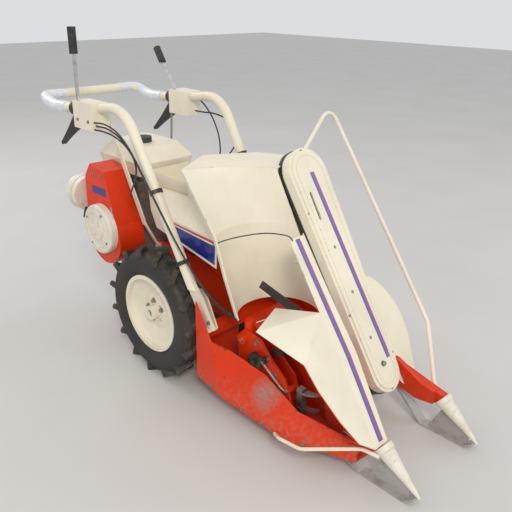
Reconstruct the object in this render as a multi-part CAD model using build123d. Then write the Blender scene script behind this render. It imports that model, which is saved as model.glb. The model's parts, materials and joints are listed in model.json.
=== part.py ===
from build123d import *
import os
from math import cos, radians, sin, sqrt, tan

# Walk-behind single-row reaper binder, with its two wheels free to turn.
# Lengths are millimetres. The shapes are written about the machine's own datum:
# X = 0 midway between the wheels, Y = 0 at the axle, Z = 0 on the ground.
# +X is the machine's left, +Y its rear and +Z up, so it works towards -Y.
# Each node is then shifted so that the origin lies under the middle of its box.

# Wheels
TYRE_R = 217.5
TYRE_WIDTH = 92.0
CARCASS_R = 203.0
LUG_COUNT = 15
LUG_WIDTH = 17.0
LUG_LENGTH = 58.0
LUG_SLANT = 38.0
TRACK = 357.0
RIM_R = 131.0
RIM_WALL = 4.0
HUB_R = 24.0
HUB_REACH = 34.0
AXLE_R = 12.5
AXLE_CLEARANCE = 0.05
AXLE_Z = TYRE_R
SEAT_GAP = 0.3
RUNNING_GAP = 6.7

# Gear case and frame
GEAR_CASE_WIDTH = 96.0
GEAR_CASE_R = 72.0
AXLE_HOUSING_R = 25.0
RAIL_WALL = 6.0
BED_Z = 296.0
BED_DEPTH = 60.0
BED_REAR_Y = 452.0
BASE_REAR_Y = -TYRE_R - 8.5
PAN_WALL = (4.5, -3.5, 3.0)
HEADER_SIZE = 32.0
HEADER_Y = BASE_REAR_Y + PAN_WALL[1] - SEAT_GAP - HEADER_SIZE / 2
HEADER_FRONT_Y = HEADER_Y - HEADER_SIZE / 2
HEADER_TOP_Z = 258.0
SHEET = 2.5
PLATE = 4.0

# Left side beam of the base, and the throat between it and the right pan
BEAM_X = 200.0
BEAM_WIDTH = 26.0
THROAT_X = -34.0

# Divider noses, which rest on the ground on their skids
CONE_R = 27.0
CONE_TOP_R = 4.0
NOSE_Y = -957.0
CONE_Y = -833.0
CONE_Z = 118.0
NOSE_Z = 24.0
RIGHT_NOSE_X = -86.0
LEFT_NOSE_X = 209.0
SKID_WALL = 5.0
SKID_WIDTH = 34.0

# Crop raiser on the left divider
RAISER_X = 116.0
RAISER_Y = -727.0
RAISER_Z = 134.0
RAISER_LEAN = 32.0
RAISER_LENGTH = 749.0
RAISER_TOP_R = 76.5
RAISER_LOW_R = 60.0
RAISER_DEPTH = 30.0
RAISER_FACE = 5.0
RAISER_INSET = 10.0
CHAIN_DEPTH = 14.0
CHAIN_BAND = 13.0
CHAIN_PROUD = 3.0
FINGER_LENGTH = 74.0
FINGER_WIDTH = 15.0
FINGER_STATIONS = (205.0, 430.0)
RAISER_BACK_DEPTH = 36.0
BOX_X = 14.0
BOX_TOP_R = 50.0
BOX_LOW_R = 34.0
WING_LEVEL = 14.0

# Guide rod that arches over the crop on the left side
GUIDE_D = 13.0
GUIDE_TOP_X = 444.0

# Bent rod hoop, the machine's right edge
HOOP_D = 10.0
HOOP_X = -236.0

# Hood behind the throat
HOOD_TOP_Z = 722.0
HOOD_LOW_Z = 330.0
HOOD_LIP = 20.0

# Twine tray and belt cover
TRAY_R = 82.0
TRAY_FRONT_Y = -62.0
TRAY_REAR_Y = 152.0
TRAY_Z = 642.0
TRAY_X = 4.0

# Engine
ENGINE_Y = 278.0
CRANK_Z = 432.0
CRANK_COVER_Y = 250.0
CRANK_COVER_Z = 382.0
ENGINE_HALF = 92.0
SHROUD_R = 100.0
SHROUD_DEPTH = 78.0
SHROUD_OUTER_X = -190.0
STARTER_R = 86.0
STARTER_DEPTH = 28.0
TANK_WIDTH = 226.0
TANK_LENGTH = 272.0
TANK_HEIGHT = 92.0
TANK_X = 12.0
TANK_Y = 300.0
TANK_Z = 612.0

# Handles
HANDLE_D = 32.0
HANDLE_LEAN = 31.4
HANDLE_FOOT_Z = HEADER_TOP_Z - 2
HANDLE_FOOT_X = 180.0
HANDLE_BEND_Z = 858.0
GRIP_D = 38.0
CROSSBAR_Z = 837.0
HANDLE_REAR_Y = 622.0
HANDLE_RIGHT_X = -190.0
HANDLE_LEFT_X = 204.0
LEVER_TOP_Z = 1079.0

def block(x, y, z):
    """Box between pairs of low and high values along each axis."""
    size = Box(x[1] - x[0], y[1] - y[0], z[1] - z[0])
    return Pos((x[0] + x[1]) / 2, (y[0] + y[1]) / 2, (z[0] + z[1]) / 2) * size


def bar_x(radius, x0, x1, y, z):
    """Round bar along X."""
    return Pos((x0 + x1) / 2, y, z) * Rot(0, 90, 0) * Cylinder(radius, abs(x1 - x0))


def bar_between(start, end, radius):
    """Round bar from one point to another."""
    a, b = Vector(*start), Vector(*end)
    plane = Plane(origin=a, z_dir=b - a)
    return extrude(plane * Circle(radius), (b - a).length)


def tube(points, radii, diameter):
    """Round tube along straight runs joined by tangent arcs."""
    path = FilletPolyline(*[Vector(*p) for p in points], radius=radii)
    start = Plane(origin=path @ 0, z_dir=path % 0)
    return sweep(start * Circle(diameter / 2), path=path)


def side_plate(outline, x, thickness):
    """Plate whose outline is given in (y, z), from x towards +X."""
    face = make_face(Polyline(*[(x, y, z) for y, z in outline], close=True))
    return extrude(face, thickness, dir=(1, 0, 0))


def flat_bar(start, end, width, thickness, across):
    """Flat bar from one point to another, its width along one direction."""
    a, b = Vector(*start), Vector(*end)
    along = (b - a).normalized()
    side = Vector(*across) - along * Vector(*across).dot(along)
    plane = Plane(origin=a, x_dir=side, z_dir=along)
    return extrude(plane * Rectangle(width, thickness), (b - a).length)


def flat_plate(outline, z, thickness):
    """Plate whose outline is given in (x, y), from z upwards."""
    face = make_face(Polyline(*[(x, y, z) for x, y in outline], close=True))
    return extrude(face, thickness, dir=(0, 0, 1))


def folded_sheet(corners, panels, inward):
    """Sheet folded along lines between named corners, one wall thick along one direction."""
    direction = Vector(*inward)
    pieces = []
    for panel in panels:
        points = [Vector(*corners[name]) for name in panel.split()]
        face = make_face(Polyline(*points, close=True))
        pieces.append(extrude(face, direction.length, dir=direction))
    return fuse(pieces)


def fuse(pieces):
    """One solid from pieces that touch or cross."""
    return pieces[0].fuse(*pieces[1:]) if len(pieces) > 1 else pieces[0]


def oblong(low_r, high_r, low, high, centre=0.0):
    """Face with round ends of two radii, in (x, y), its ends' centres at y = low and high."""
    turn = (low_r - high_r) / (high - low)
    up = sqrt(1 - turn * turn)
    lows = [(centre + s * low_r * up, low + low_r * turn) for s in (-1, 1)]
    highs = [(centre + s * high_r * up, high + high_r * turn) for s in (-1, 1)]
    edge = [
        ThreePointArc(lows[0], (centre, low - low_r), lows[1]),
        Line(lows[1], highs[1]),
        ThreePointArc(highs[1], (centre, high + high_r), highs[0]),
        Line(highs[0], lows[0]),
    ]
    return make_face(edge)


def grown_plate(outline, x, thickness):
    """Plate with one seat gap added all round, to cut a neighbour clear of it."""
    face = make_face(Polyline(*[(x - SEAT_GAP, y, z) for y, z in outline], close=True))
    wide = offset(face, SEAT_GAP, kind=Kind.INTERSECTION)
    return extrude(wide, thickness + 2 * SEAT_GAP, dir=(1, 0, 0))


def wheel_tyre(side):
    """Tyre with slanted lugs in two staggered rows."""
    half = TYRE_WIDTH / 2
    bead, crown = RIM_R - 7.5, CARCASS_R - 6
    toe = half - 12.5
    root = CARCASS_R - 17
    outer = [
        Line((-toe, bead, 0), (-toe, RIM_R + 1, 0)),
        ThreePointArc((-toe, RIM_R + 1, 0), (1.7 - half, (bead + root) / 2, 0), (1 - half, root, 0)),
        Polyline((1 - half, root, 0), (9 - half, crown, 0), (20 - half, CARCASS_R, 0),
                 (half - 20, CARCASS_R, 0), (half - 9, crown, 0), (half - 1, root, 0)),
        ThreePointArc((half - 1, root, 0), (half - 1.7, (bead + root) / 2, 0), (toe, RIM_R + 1, 0)),
        Polyline((toe, RIM_R + 1, 0), (toe, bead, 0), (toe - 10, bead, 0), (toe - 10, crown - 10, 0),
                 (10 - toe, crown - 10, 0), (10 - toe, bead, 0), (-toe, bead, 0)),
    ]
    carcass = revolve(make_face(outer), Axis.X)
    pitch = 360 / LUG_COUNT
    height = TYRE_R - root
    bar = Box(LUG_LENGTH, LUG_WIDTH, height)
    lugs = []
    for row in (-1, 1):
        lean = Pos(row * half * 0.46, 0, -TYRE_R + height / 2) * Rot(0, 0, row * LUG_SLANT) * bar
        for k in range(LUG_COUNT):
            lugs.append(Rot(pitch * (k + (row + 1) / 4), 0, 0) * lean)
    envelope = Rot(0, 90, 0) * Cylinder(TYRE_R, TYRE_WIDTH)
    band = fuse(lugs) & envelope
    return Pos(side * TRACK / 2, 0, AXLE_Z) * fuse([carcass, *band.solids()])


def wheel_rim(side):
    """Pressed rim with a dished disc, a hub and four bolt holes."""
    half = TYRE_WIDTH / 2 - 8
    seat, well = RIM_R - 9, RIM_R - 26
    wall = RIM_WALL
    barrel = Polyline(
        (half, RIM_R, 0), (half, seat - wall, 0), (half - 14, seat - wall, 0), (half - 22, well, 0),
        (22 - half, well, 0), (14 - half, seat - wall, 0), (-half, seat - wall, 0), (-half, RIM_R, 0),
        (wall - half, RIM_R, 0), (wall - half, seat + 1, 0), (18 - half, seat + 1, 0),
        (24 - half, well + wall, 0), (half - 24, well + wall, 0), (half - 18, seat + 1, 0),
        (half - wall, seat + 1, 0), (half - wall, RIM_R, 0), close=True)
    disc = Polyline(
        (half - 22, well + 1, 0), (4, 62, 0), (10, 44, 0), (10, HUB_R - 2, 0),
        (10 - wall, HUB_R - 2, 0), (10 - wall, 44, 0), (-1, 60, 0), (half - 28, well + 1, 0), close=True)
    hub = Pos((HUB_REACH - 42) / 2, 0, 0) * Rot(0, 90, 0) * Cylinder(HUB_R, HUB_REACH + 42)
    rim = fuse([revolve(make_face(barrel), Axis.X), revolve(make_face(disc), Axis.X), hub])
    rim -= Rot(0, 90, 0) * Cylinder(AXLE_R + AXLE_CLEARANCE, 200)
    for k in range(4):
        rim -= Rot(45 + 90 * k, 0, 0) * Pos(0, 0, 35) * Rot(0, 90, 0) * Cylinder(5, 60)
    turned = rim if side > 0 else Rot(0, 0, 180) * rim
    return Pos(side * TRACK / 2, 0, AXLE_Z) * turned


def axle():
    """Solid axle that carries both wheels."""
    reach = TRACK / 2 + HUB_REACH - 8
    return bar_x(AXLE_R, -reach, reach, 0, AXLE_Z)


def gear_case():
    """Cast gear case with its axle housings."""
    half = GEAR_CASE_WIDTH / 2
    body = fuse([
        bar_x(GEAR_CASE_R, -half, half, 0, AXLE_Z),
        block((-half, half), (-58, 88), (AXLE_Z - 10, BED_Z - BED_DEPTH - SEAT_GAP)),
    ])
    reach = TRACK / 2 - 42 - 1.5
    housing = bar_x(AXLE_HOUSING_R, -reach, reach, 0, AXLE_Z)
    flanges = [bar_x(AXLE_HOUSING_R + 12, s * half - 1, s * (half + 12), 0, AXLE_Z) for s in (-1, 1)]
    case = fuse([body, housing, *flanges])
    return case - bar_x(AXLE_R + AXLE_CLEARANCE, -reach - 5, reach + 5, 0, AXLE_Z)


# Outline of one frame side in (y, z), from the base up over the gear case and down to the bed
FRAME_SIDE = [
    (HEADER_FRONT_Y, HEADER_TOP_Z - HEADER_SIZE), (HEADER_FRONT_Y, 330), (-90, 395), (150, 395), (176, BED_Z),
    (BED_REAR_Y, BED_Z), (BED_REAR_Y, BED_Z - BED_DEPTH), (-120, BED_Z - BED_DEPTH), (-200, 226),
]
FRAME_HALF = 62.0


def main_frame():
    """Two side plates tied by the engine bed and cross members."""
    outer = FRAME_HALF + RAIL_WALL
    sides = [side_plate(FRAME_SIDE, x, RAIL_WALL) for x in (-outer, FRAME_HALF)]
    header = block((-HANDLE_FOOT_X - 15, BEAM_X - SEAT_GAP), (HEADER_FRONT_Y, HEADER_Y + HEADER_SIZE / 2),
                   (HEADER_TOP_Z - HEADER_SIZE, HEADER_TOP_Z))
    bed = block((-outer, outer), (205, BED_REAR_Y), (BED_Z - RAIL_WALL, BED_Z))
    front = block((-outer, outer), (HEADER_FRONT_Y, HEADER_FRONT_Y + 12), (HEADER_TOP_Z - 1, 326))
    middle = block((-outer, outer), (100, 112), (BED_Z - BED_DEPTH, 390))
    rear = HEADER_Y + HEADER_SIZE / 2
    upright = side_plate([(rear - 4, HEADER_TOP_Z - 1), (rear - 22, 330), (-268, 436), (-324, 436), (-324, 318),
                          (rear - 28, HEADER_TOP_Z - 1)], 118, 5)
    frame = fuse([*sides, header, bed, front, middle, upright])
    return frame - bar_x(AXLE_HOUSING_R + SEAT_GAP, -outer - 1, outer + 1, 0, AXLE_Z)


def chain_case():
    """Closed drive case from the gear case forward to the binding head."""
    outline = [(-240, 330), (-240, 430), (-100, 462), (90, 470), (90, 400), (-60, 400), (-90, 340)]
    inner = FRAME_HALF - SEAT_GAP
    return side_plate(outline, -inner, 2 * inner)


def cone_nose(x):
    """Pointed nose of a divider with a collar at its base."""
    base, tip = Vector(x, CONE_Y, CONE_Z), Vector(x, NOSE_Y, NOSE_Z)
    axis = tip - base
    plane = Plane(origin=base, z_dir=axis)
    profile = Polyline((0, 0), (CONE_R, 0), (CONE_R, 14), (CONE_R - 4, 18), (CONE_TOP_R, axis.length - 4),
                       (0, axis.length), close=True)
    solid = revolve(make_face(Plane.XZ * profile), Axis.Z)
    return plane * solid


def divider_tips():
    """Both noses."""
    return [cone_nose(RIGHT_NOSE_X), cone_nose(LEFT_NOSE_X)]


def nose_underside(y):
    """Height of a nose's lowest line at one y."""
    run, rise = CONE_Y - NOSE_Y, CONE_Z - NOSE_Z
    length = sqrt(run * run + rise * rise)
    back = (CONE_Y + CONE_R * rise / length, CONE_Z - CONE_R * run / length)
    front = (NOSE_Y + CONE_TOP_R * rise / length, NOSE_Z - CONE_TOP_R * run / length)
    return back[1] + (y - back[0]) * (back[1] - front[1]) / (back[0] - front[0])


# Runners under the noses: middle in x, height of the seat above, and where the seat starts and ends in y
SKID_SEATS = [(RIGHT_NOSE_X, 44.0, -690, -640), (LEFT_NOSE_X + 4, 96.0, -690, -650)]


def skids():
    """Flat runners under the noses, on the ground, each turned up to a seat behind."""
    half = SKID_WIDTH / 2
    runners = []
    for x, seat, start, end in SKID_SEATS:
        top = seat - SEAT_GAP
        outline = [(NOSE_Y + 36, 0), (-780, 0), (start + 4, top - SKID_WALL - 4), (end, top - SKID_WALL),
                   (end, top), (start, top), (-782, SKID_WALL), (NOSE_Y + 38, SKID_WALL),
                   (NOSE_Y + 13, 25.4), (NOSE_Y + 9, 21)]
        web = [(-926, SKID_WALL - 1), (-926, nose_underside(-926) - SEAT_GAP * 2),
               (-838, nose_underside(-838) - SEAT_GAP * 2), (-802, SKID_WALL - 1)]
        runners.append(fuse([side_plate(outline, x - half, SKID_WIDTH), side_plate(web, x - 3, 6)]))
    return runners


def nose_back(z):
    """Where a nose's back face lies in y at one height, with the seat gap behind it."""
    return CONE_Y - (z - CONE_Z) * (CONE_Z - NOSE_Z) / (CONE_Y - NOSE_Y) + SEAT_GAP * 1.4


# Inner wall of the right pan, which parts the crop from the binding gear, in (y, z)
THROAT_WALL = [(-338, 64), (-338, 250), (-400, 300), (-560, 306), (-690, 268), (-742, 120), (-700, 46), (-585, 46)]


# Right base pan in (x, y, z): low corners from the rear round to the nose, the fold above them,
# the leaning side's upper edge, and the rear wall
PAN_X = -202.0
FLANGE = 15.0
RIGHT_PAN = {
    "r0": (PAN_X, BASE_REAR_Y, 84), "r1": (PAN_X, -336, 62), "r2": (-190, -585, 44), "r3": (-118, -775, 44),
    "n": (-60, -775, 44), "i2": (THROAT_X, -585, 44), "i1": (THROAT_X, -336, 62), "i0": (THROAT_X, BASE_REAR_Y, 84),
    "f0": (PAN_X, BASE_REAR_Y, 84 + FLANGE), "f1": (PAN_X, -336, 62 + FLANGE), "f2": (-190, -585, 44 + FLANGE),
    "f3": (-118, -775, 44 + FLANGE),
    "u1": (-164, -336, 202), "u2": (-136, -448, 164), "u3": (-142, -585, 112), "u4": (-104, -775, 92),
    "R0": (PAN_X, BASE_REAR_Y, 340), "R1": (PAN_X, -290, 230), "S0": (PAN_X, BASE_REAR_Y, 246),
    "I0": (THROAT_X, BASE_REAR_Y, 215),
}
RIGHT_PAN_PANELS = [
    "r0 r1 i1", "r0 i1 i0", "r1 r2 i2", "r1 i2 i1", "r2 r3 n", "r2 n i2", "r0 i0 I0", "r0 I0 S0",
    "r0 f0 f1 r1", "r1 f1 f2", "r1 f2 r2", "r2 f2 f3", "r2 f3 r3",
    "f0 R0 R1", "f0 R1 f1", "f1 R1 u1", "f1 u1 u2", "f1 u2 f2", "f2 u2 u3", "f2 u3 u4", "f2 u4 f3",
]


def base_right():
    """Open pan under the right divider, with its throat wall and the tongue that carries its nose."""
    pan = folded_sheet(RIGHT_PAN, RIGHT_PAN_PANELS, PAN_WALL)
    tongue = [(-700, 46), (-700, 62), (-770, 92), (nose_back(112), 112), (nose_back(94), 94), (-780, 46)]
    wall = side_plate(THROAT_WALL, THROAT_X - 4, SHEET)
    window = side_plate([(-560, 190), (-470, 215), (-470, 250), (-560, 240)], THROAT_X - 10, 12)
    return fuse([pan, side_plate(tongue, RIGHT_NOSE_X - 9, 18), wall - window])


def pan_floor(y):
    """Top of the right pan's floor at one y, between its two middle folds."""
    (_, y1, z1), (_, y2, z2) = RIGHT_PAN["r1"], RIGHT_PAN["r2"]
    return z1 + (y - PAN_WALL[1] - y1) * (z2 - z1) / (y2 - y1) + PAN_WALL[2]


# Binding gear in the right pan: its two side castings, and the knotter's shaft in (y, z)
KNOTTER_X = (-121.0, -82.0)
KNOTTER_WALL = 7.0
KNOTTER_SHAFT = (-412.0, 196.0)
SHAFT_R = 9.0
GEAR_TEETH = 24
GEAR_R = 50.0
GEAR_ROOT_R = 43.0
GEAR_DEPTH = 9.0
CAM_R = 26.0
PACKER_SHAFT = (-500.0, 128.0)
PACKER_LEVELS = (96.0, 150.0)


def knotter_frame():
    """Two side castings with bosses, tied by tubes, that carry the knotter and the packers."""
    foot = SEAT_GAP
    outline = [(-345, pan_floor(-345) + foot), (-332, 170), (-318, 236), (-350, 268), (-420, 262), (-468, 214),
               (-520, 176), (-542, 120), (-544, pan_floor(-544) + foot), (-505, pan_floor(-505) + foot), (-480, 96),
               (-400, 100), (-385, pan_floor(-385) + foot)]
    hole = [(-362, 122), (-352, 160), (-385, 158), (-440, 150), (-462, 130), (-440, 118)]
    pieces = []
    for x in KNOTTER_X:
        pieces.append(side_plate(outline, x, KNOTTER_WALL) - side_plate(hole, x - 1, KNOTTER_WALL + 2))
    low, high = KNOTTER_X[0], KNOTTER_X[1] + KNOTTER_WALL
    for y, z, radius in ((-336, 120, 10), (-350, 238, 12), (-525, 140, 9)):
        pieces.append(bar_x(radius, low + 1, high - 1, y, z))
    y, z = KNOTTER_SHAFT
    pieces.append(bar_x(20, low - 8, low + 1, y, z))
    pieces.append(bar_x(16, -362 + 230, low + 1, -350, 238))
    pieces.append(Pos(-98, -350, 262) * Cylinder(15, 60))
    return fuse(pieces) - bar_x(SHAFT_R + SEAT_GAP, low - 10, high + 10, y, z)


def toothed_disc(x, centre, depth):
    """Spur gear about an axis along X, its teeth as straight-sided flanks."""
    y, z = centre
    outline = []
    for k in range(GEAR_TEETH):
        for share, radius in ((0.05, GEAR_ROOT_R), (0.3, GEAR_R), (0.55, GEAR_R), (0.8, GEAR_ROOT_R)):
            turn = radians(360 * (k + share) / GEAR_TEETH)
            outline.append((y + radius * cos(turn), z + radius * sin(turn)))
    return side_plate(outline, x, depth)


def knotter_gears():
    """Knotter gear and cam on their shaft, with the bill hook between the castings."""
    y, z = KNOTTER_SHAFT
    low, high = KNOTTER_X[0] - 8 - SEAT_GAP, KNOTTER_X[1] + KNOTTER_WALL
    shaft = bar_x(SHAFT_R, low - 16, high + 14, y, z)
    gear = toothed_disc(high + SEAT_GAP, KNOTTER_SHAFT, GEAR_DEPTH)
    for k in range(4):
        gear -= bar_x(8, high - 1, high + 12, y + 27 * cos(k * radians(90)), z + 27 * sin(k * radians(90)))
    cam = fuse([bar_x(CAM_R, low - 8, low, y, z), bar_x(12, low - 8, low, y - CAM_R - 4, z + 14)])
    middle = (KNOTTER_X[0] + KNOTTER_WALL + KNOTTER_X[1]) / 2
    hub = bar_x(17, middle - 10, middle + 10, y, z)
    stem = bar_between((middle, y, z), (middle, y - 44, z + 36), 6)
    hook = side_plate([(y - 34, z + 40), (y - 44, z + 26), (y - 74, z + 34), (y - 78, z + 44), (y - 58, z + 46)],
                      middle - 4, 8)
    return fuse([shaft, gear, cam, hub, stem, hook])


def packers():
    """Two packer arms, one above the other, that curve forward from their shaft."""
    y, z = PACKER_SHAFT
    x = (KNOTTER_X[0] + KNOTTER_WALL + KNOTTER_X[1]) / 2
    arms = []
    for level in PACKER_LEVELS:
        edge = [
            ThreePointArc((x - 11, y - 60), (x - 7, y - 90), (x + 20, y - 116)),
            Line((x + 20, y - 116), (x + 24, y - 109)),
            ThreePointArc((x + 24, y - 109), (x + 12, y - 86), (x + 11, y - 60)),
            Line((x + 11, y - 60), (x - 11, y - 60)),
        ]
        arms.append(extrude(Pos(0, 0, level) * make_face(edge), 6))
    post = Pos(x, y - 64, 0) * block((-10, 10), (-10, 10), (pan_floor(y - 54) + SEAT_GAP, PACKER_LEVELS[1] + 12))
    return fuse([*arms, post])


LEFT_BEAM = [
    (BASE_REAR_Y, 104), (BASE_REAR_Y, 316), (-330, 300), (-700, 160), (nose_back(128), 128), (nose_back(99), 99),
    (-700, 96),
]


def base_left():
    """Deep side plate under the left divider with a groove along it."""
    beam = side_plate(LEFT_BEAM, BEAM_X, BEAM_WIDTH)
    groove = side_plate([(-232, 190), (-232, 226), (-640, 138), (-640, 124)], BEAM_X + BEAM_WIDTH - 8, 20)
    return beam - groove


def cutter_deck():
    """Sloping deck across the throat, from the knife back to the header."""
    rear = HEADER_FRONT_Y - SEAT_GAP
    outline = [(-600, 62), (-600, 76), (-470, 96), (rear, 240), (rear, 226), (-466, 84), (-560, 62)]
    return side_plate(outline, THROAT_X + SEAT_GAP, BEAM_X - THROAT_X - 2 * SEAT_GAP)


def cutter_knife():
    """Knife bar with triangular sections on its front edge."""
    x0, x1, y, z = THROAT_X + 4, BEAM_X - 4, -600.0, 68.0
    pitch = (x1 - x0) / 6
    outline = [(x0, y - 0.3), (x1, y - 0.3), (x1, y - 20)]
    for k in range(6):
        left = x1 - pitch * k
        outline += [(left - pitch / 2 + 6, y - 52), (left - pitch / 2 - 6, y - 52), (left - pitch, y - 20)]
    return flat_plate(outline, z, 4)


# Raiser frame: origin at its lowest point, x to the left, y up along the case, z out of its face
RAISER = Plane(
    origin=(RAISER_X, RAISER_Y, RAISER_Z), x_dir=(1, 0, 0),
    z_dir=(0, -cos(radians(RAISER_LEAN)), sin(radians(RAISER_LEAN))))
LOW_CENTRE = RAISER_LOW_R
TOP_CENTRE = RAISER_LENGTH - RAISER_TOP_R


def raiser_slab(inset, low, high):
    """Slab of the raiser's outline, inset all round, between two levels along its face normal."""
    face = oblong(RAISER_LOW_R - inset, RAISER_TOP_R - inset, LOW_CENTRE, TOP_CENTRE)
    return extrude(RAISER.offset(low) * face, high - low)


def raiser_case():
    """Front half of the raiser housing."""
    return raiser_slab(0, -RAISER_DEPTH, 0)


def raiser_front_plate():
    """Raised cover on the case with a slot."""
    plate = raiser_slab(RAISER_INSET, 0, RAISER_FACE)
    slot = extrude(RAISER.offset(-1) * Pos(-30, 575, 0) * SlotOverall(86, 9, rotation=90), 20)
    groove = raiser_slab(RAISER_INSET + 13, RAISER_FACE - 1.5, RAISER_FACE + 1)
    groove -= raiser_slab(RAISER_INSET + 15.5, RAISER_FACE - 2, RAISER_FACE + 2)
    return plate - slot - groove


def raiser_chain():
    """Closed finger chain round the housing, seen as a dark band at its edge."""
    level = -RAISER_DEPTH
    outer = raiser_slab(-CHAIN_PROUD, level - CHAIN_DEPTH, level)
    return outer - raiser_slab(CHAIN_BAND, level - CHAIN_DEPTH - 1, level + 1)


def raiser_fingers():
    """Fingers of the working run, which reach across the throat."""
    fingers = []
    level = -RAISER_DEPTH - CHAIN_DEPTH / 2
    for station in FINGER_STATIONS:
        half = FINGER_WIDTH / 2
        share = (station + half + 6 - LOW_CENTRE) / (TOP_CENTRE - LOW_CENTRE)
        edge = RAISER_LOW_R + share * (RAISER_TOP_R - RAISER_LOW_R) + CHAIN_PROUD + SEAT_GAP
        outline = Polyline((-edge, station - half), (-edge, station + half + 6), (-edge - 30, station + half + 4),
                           (-edge - FINGER_LENGTH, station + 22), (-edge - FINGER_LENGTH, station + 16),
                           (-edge - 34, station - half + 2), close=True)
        fingers.append(extrude(RAISER.offset(level - 4) * make_face(outline), 8))
    return fingers


def raiser_box(margin, low, high):
    """Drive box behind the raiser, grown by a margin, between two levels."""
    face = oblong(BOX_LOW_R + margin, BOX_TOP_R + margin, 150, TOP_CENTRE - 24, BOX_X)
    return extrude(RAISER.offset(low) * face, high - low)


def raiser_back():
    """Backing plate and drive box behind the chain."""
    level = -RAISER_DEPTH - CHAIN_DEPTH
    plate = raiser_slab(4, level - PLATE, level)
    return fuse([plate, raiser_box(0, level - PLATE - RAISER_BACK_DEPTH, level - PLATE + 1)])


def raiser_at(up, level):
    """Point in (y, z) at a length up the raiser and a level along its face normal."""
    lean = radians(RAISER_LEAN)
    return (RAISER_Y + up * sin(lean) - level * cos(lean), RAISER_Z + up * cos(lean) + level * sin(lean))


POST_WIDTH = 16.0
LEFT_POST = [(-818, 100), (-818, 140), (-770, 150), (-690, 190), (-640, 200), (-640, 120), (-760, 92)]


def divider_post_left():
    """Channel beside the left base, with the foot that carries the raiser's back plate."""
    x = BEAM_X - SEAT_GAP - POST_WIDTH
    post = side_plate(LEFT_POST, x, POST_WIDTH)
    level = -RAISER_DEPTH - CHAIN_DEPTH - PLATE - SEAT_GAP
    pad = Rectangle(x + 4 - RAISER_X, 88, align=(Align.MIN, Align.MIN))
    return fuse([post, extrude(RAISER.offset(level - 6) * Pos(0, 22, 0) * pad, 6)])


def left_wing():
    """Rounded panel on the outer side of the left divider."""
    low, high = 8.0, 330.0
    edge = [
        Line((78, high), (96, high - 6)),
        ThreePointArc((96, high - 6), (166, 205), (162, 96)),
        Line((162, 96), (128, -24)),
        Line((128, -24), (92, -42)),
        Line((92, -42), (56, low)),
        Line((56, low), (78, high)),
    ]
    wing = extrude(RAISER.offset(-WING_LEVEL) * make_face(edge), SHEET)
    wing -= raiser_slab(-SEAT_GAP, -RAISER_DEPTH, 1)
    wing -= grown_plate(LEFT_BEAM, BEAM_X, BEAM_WIDTH)
    wing -= grown_plate(LEFT_POST, BEAM_X - SEAT_GAP - POST_WIDTH, POST_WIDTH)
    return max(wing.solids(), key=lambda solid: solid.volume)


def guide_rod():
    """Rod from the back of the raiser out, over and down to the left nose."""
    top = GUIDE_TOP_X
    beside_box = RAISER_X + BOX_X + BOX_TOP_R + SEAT_GAP + GUIDE_D / 2
    beside_beam = BEAM_X + BEAM_WIDTH + SEAT_GAP + GUIDE_D / 2
    points = [(beside_box, -352, 603), (206, -232, 674), (top - 34, -182, 822), (top, -190, 806),
              (335, -690, 258), (beside_beam, -790, 134), (beside_beam, -812, 108)]
    return tube(points, [30, 40, 26, 70, 30], GUIDE_D)


RIGHT_COVER = {
    "L0": (-97, -497, 589), "F0": (-46, -497, 590), "R0": (-22, -478, 585),
    "Lm": (-102, -617, 424), "L1": (-106, -691, 322), "F1": (-40, -695, 316), "R1": (-14, -670, 300),
    "L2": (-112, -831, 119), "F2": (-62, -831, 121), "R2": (-58, -815, 105),
    "W1": (-118, -472, 387), "W2": (-246, -528, 388), "W3": (-236, -686, 358),
    "E1": (-230, -728, 304), "E2": (-204, -780, 228), "E3": (-166, -816, 160),
}
RIGHT_COVER_PANELS = [
    "L0 F0 F1", "L0 F1 L1", "L1 F1 F2", "L1 F2 L2", "F0 R0 R1", "F0 R1 F1", "F1 R1 R2", "F1 R2 F2",
    "Lm W1 W2", "Lm W2 W3", "Lm W3 L1", "L1 W3 E1", "L1 E1 E2", "L1 E2 E3", "L1 E3 L2",
]
COVER_WALL = (0, 1.5, -2.2)
COVER_EDGE = ("W3", "E1", "E2", "E3", "L2")
RIM_WIDTH = 15.0


def right_cover():
    """Folded sheet over the right divider, with its outer wing."""
    return folded_sheet(RIGHT_COVER, RIGHT_COVER_PANELS, COVER_WALL)


def cover_rim():
    """Strip that stiffens the cover's outer edge from below, with the strut that holds it on the pan."""
    corners = {}
    drop = Vector(*COVER_WALL) * 1.25
    middle = Vector(*RIGHT_COVER["L1"])
    for name in COVER_EDGE:
        outer = Vector(*RIGHT_COVER[name]) + drop
        inward = (middle + drop - outer).normalized() * RIM_WIDTH
        corners[name] = (outer.X, outer.Y, outer.Z)
        corners[name + "i"] = (outer.X + inward.X, outer.Y + inward.Y, outer.Z + inward.Z)
    panels = []
    for a, b in zip(COVER_EDGE, COVER_EDGE[1:]):
        panels += [f"{a} {b} {b}i", f"{a} {b}i {a}i"]
    strip = folded_sheet(corners, panels, (0, 1.6, -2.4))
    strut = flat_bar((-160, -806, 156), (-118, -740, 106), 12, 4, (1, 0, 0))
    return fuse([strip, strut])


def stem_hoop():
    """Bent rod from the pan's side flange round to the right nose."""
    beside_nose = RIGHT_NOSE_X - CONE_R - SEAT_GAP - HOOP_D / 2
    (x1, y1, z1), (x2, y2, z2) = RIGHT_PAN["r1"], RIGHT_PAN["r2"]
    share = (-556 - y1) / (y2 - y1)
    start = (x1 + share * (x2 - x1) - 4.5, -556, z1 + share * (z2 - z1) + FLANGE / 2)
    points = [start, (HOOP_X, -610, 92), (HOOP_X + 6, -680, 96), (beside_nose - 10, -800, 112),
              (beside_nose, -846, 108)]
    return tube(points, [30, 40, 40], HOOP_D)


STAY_X = -70.0


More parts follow.
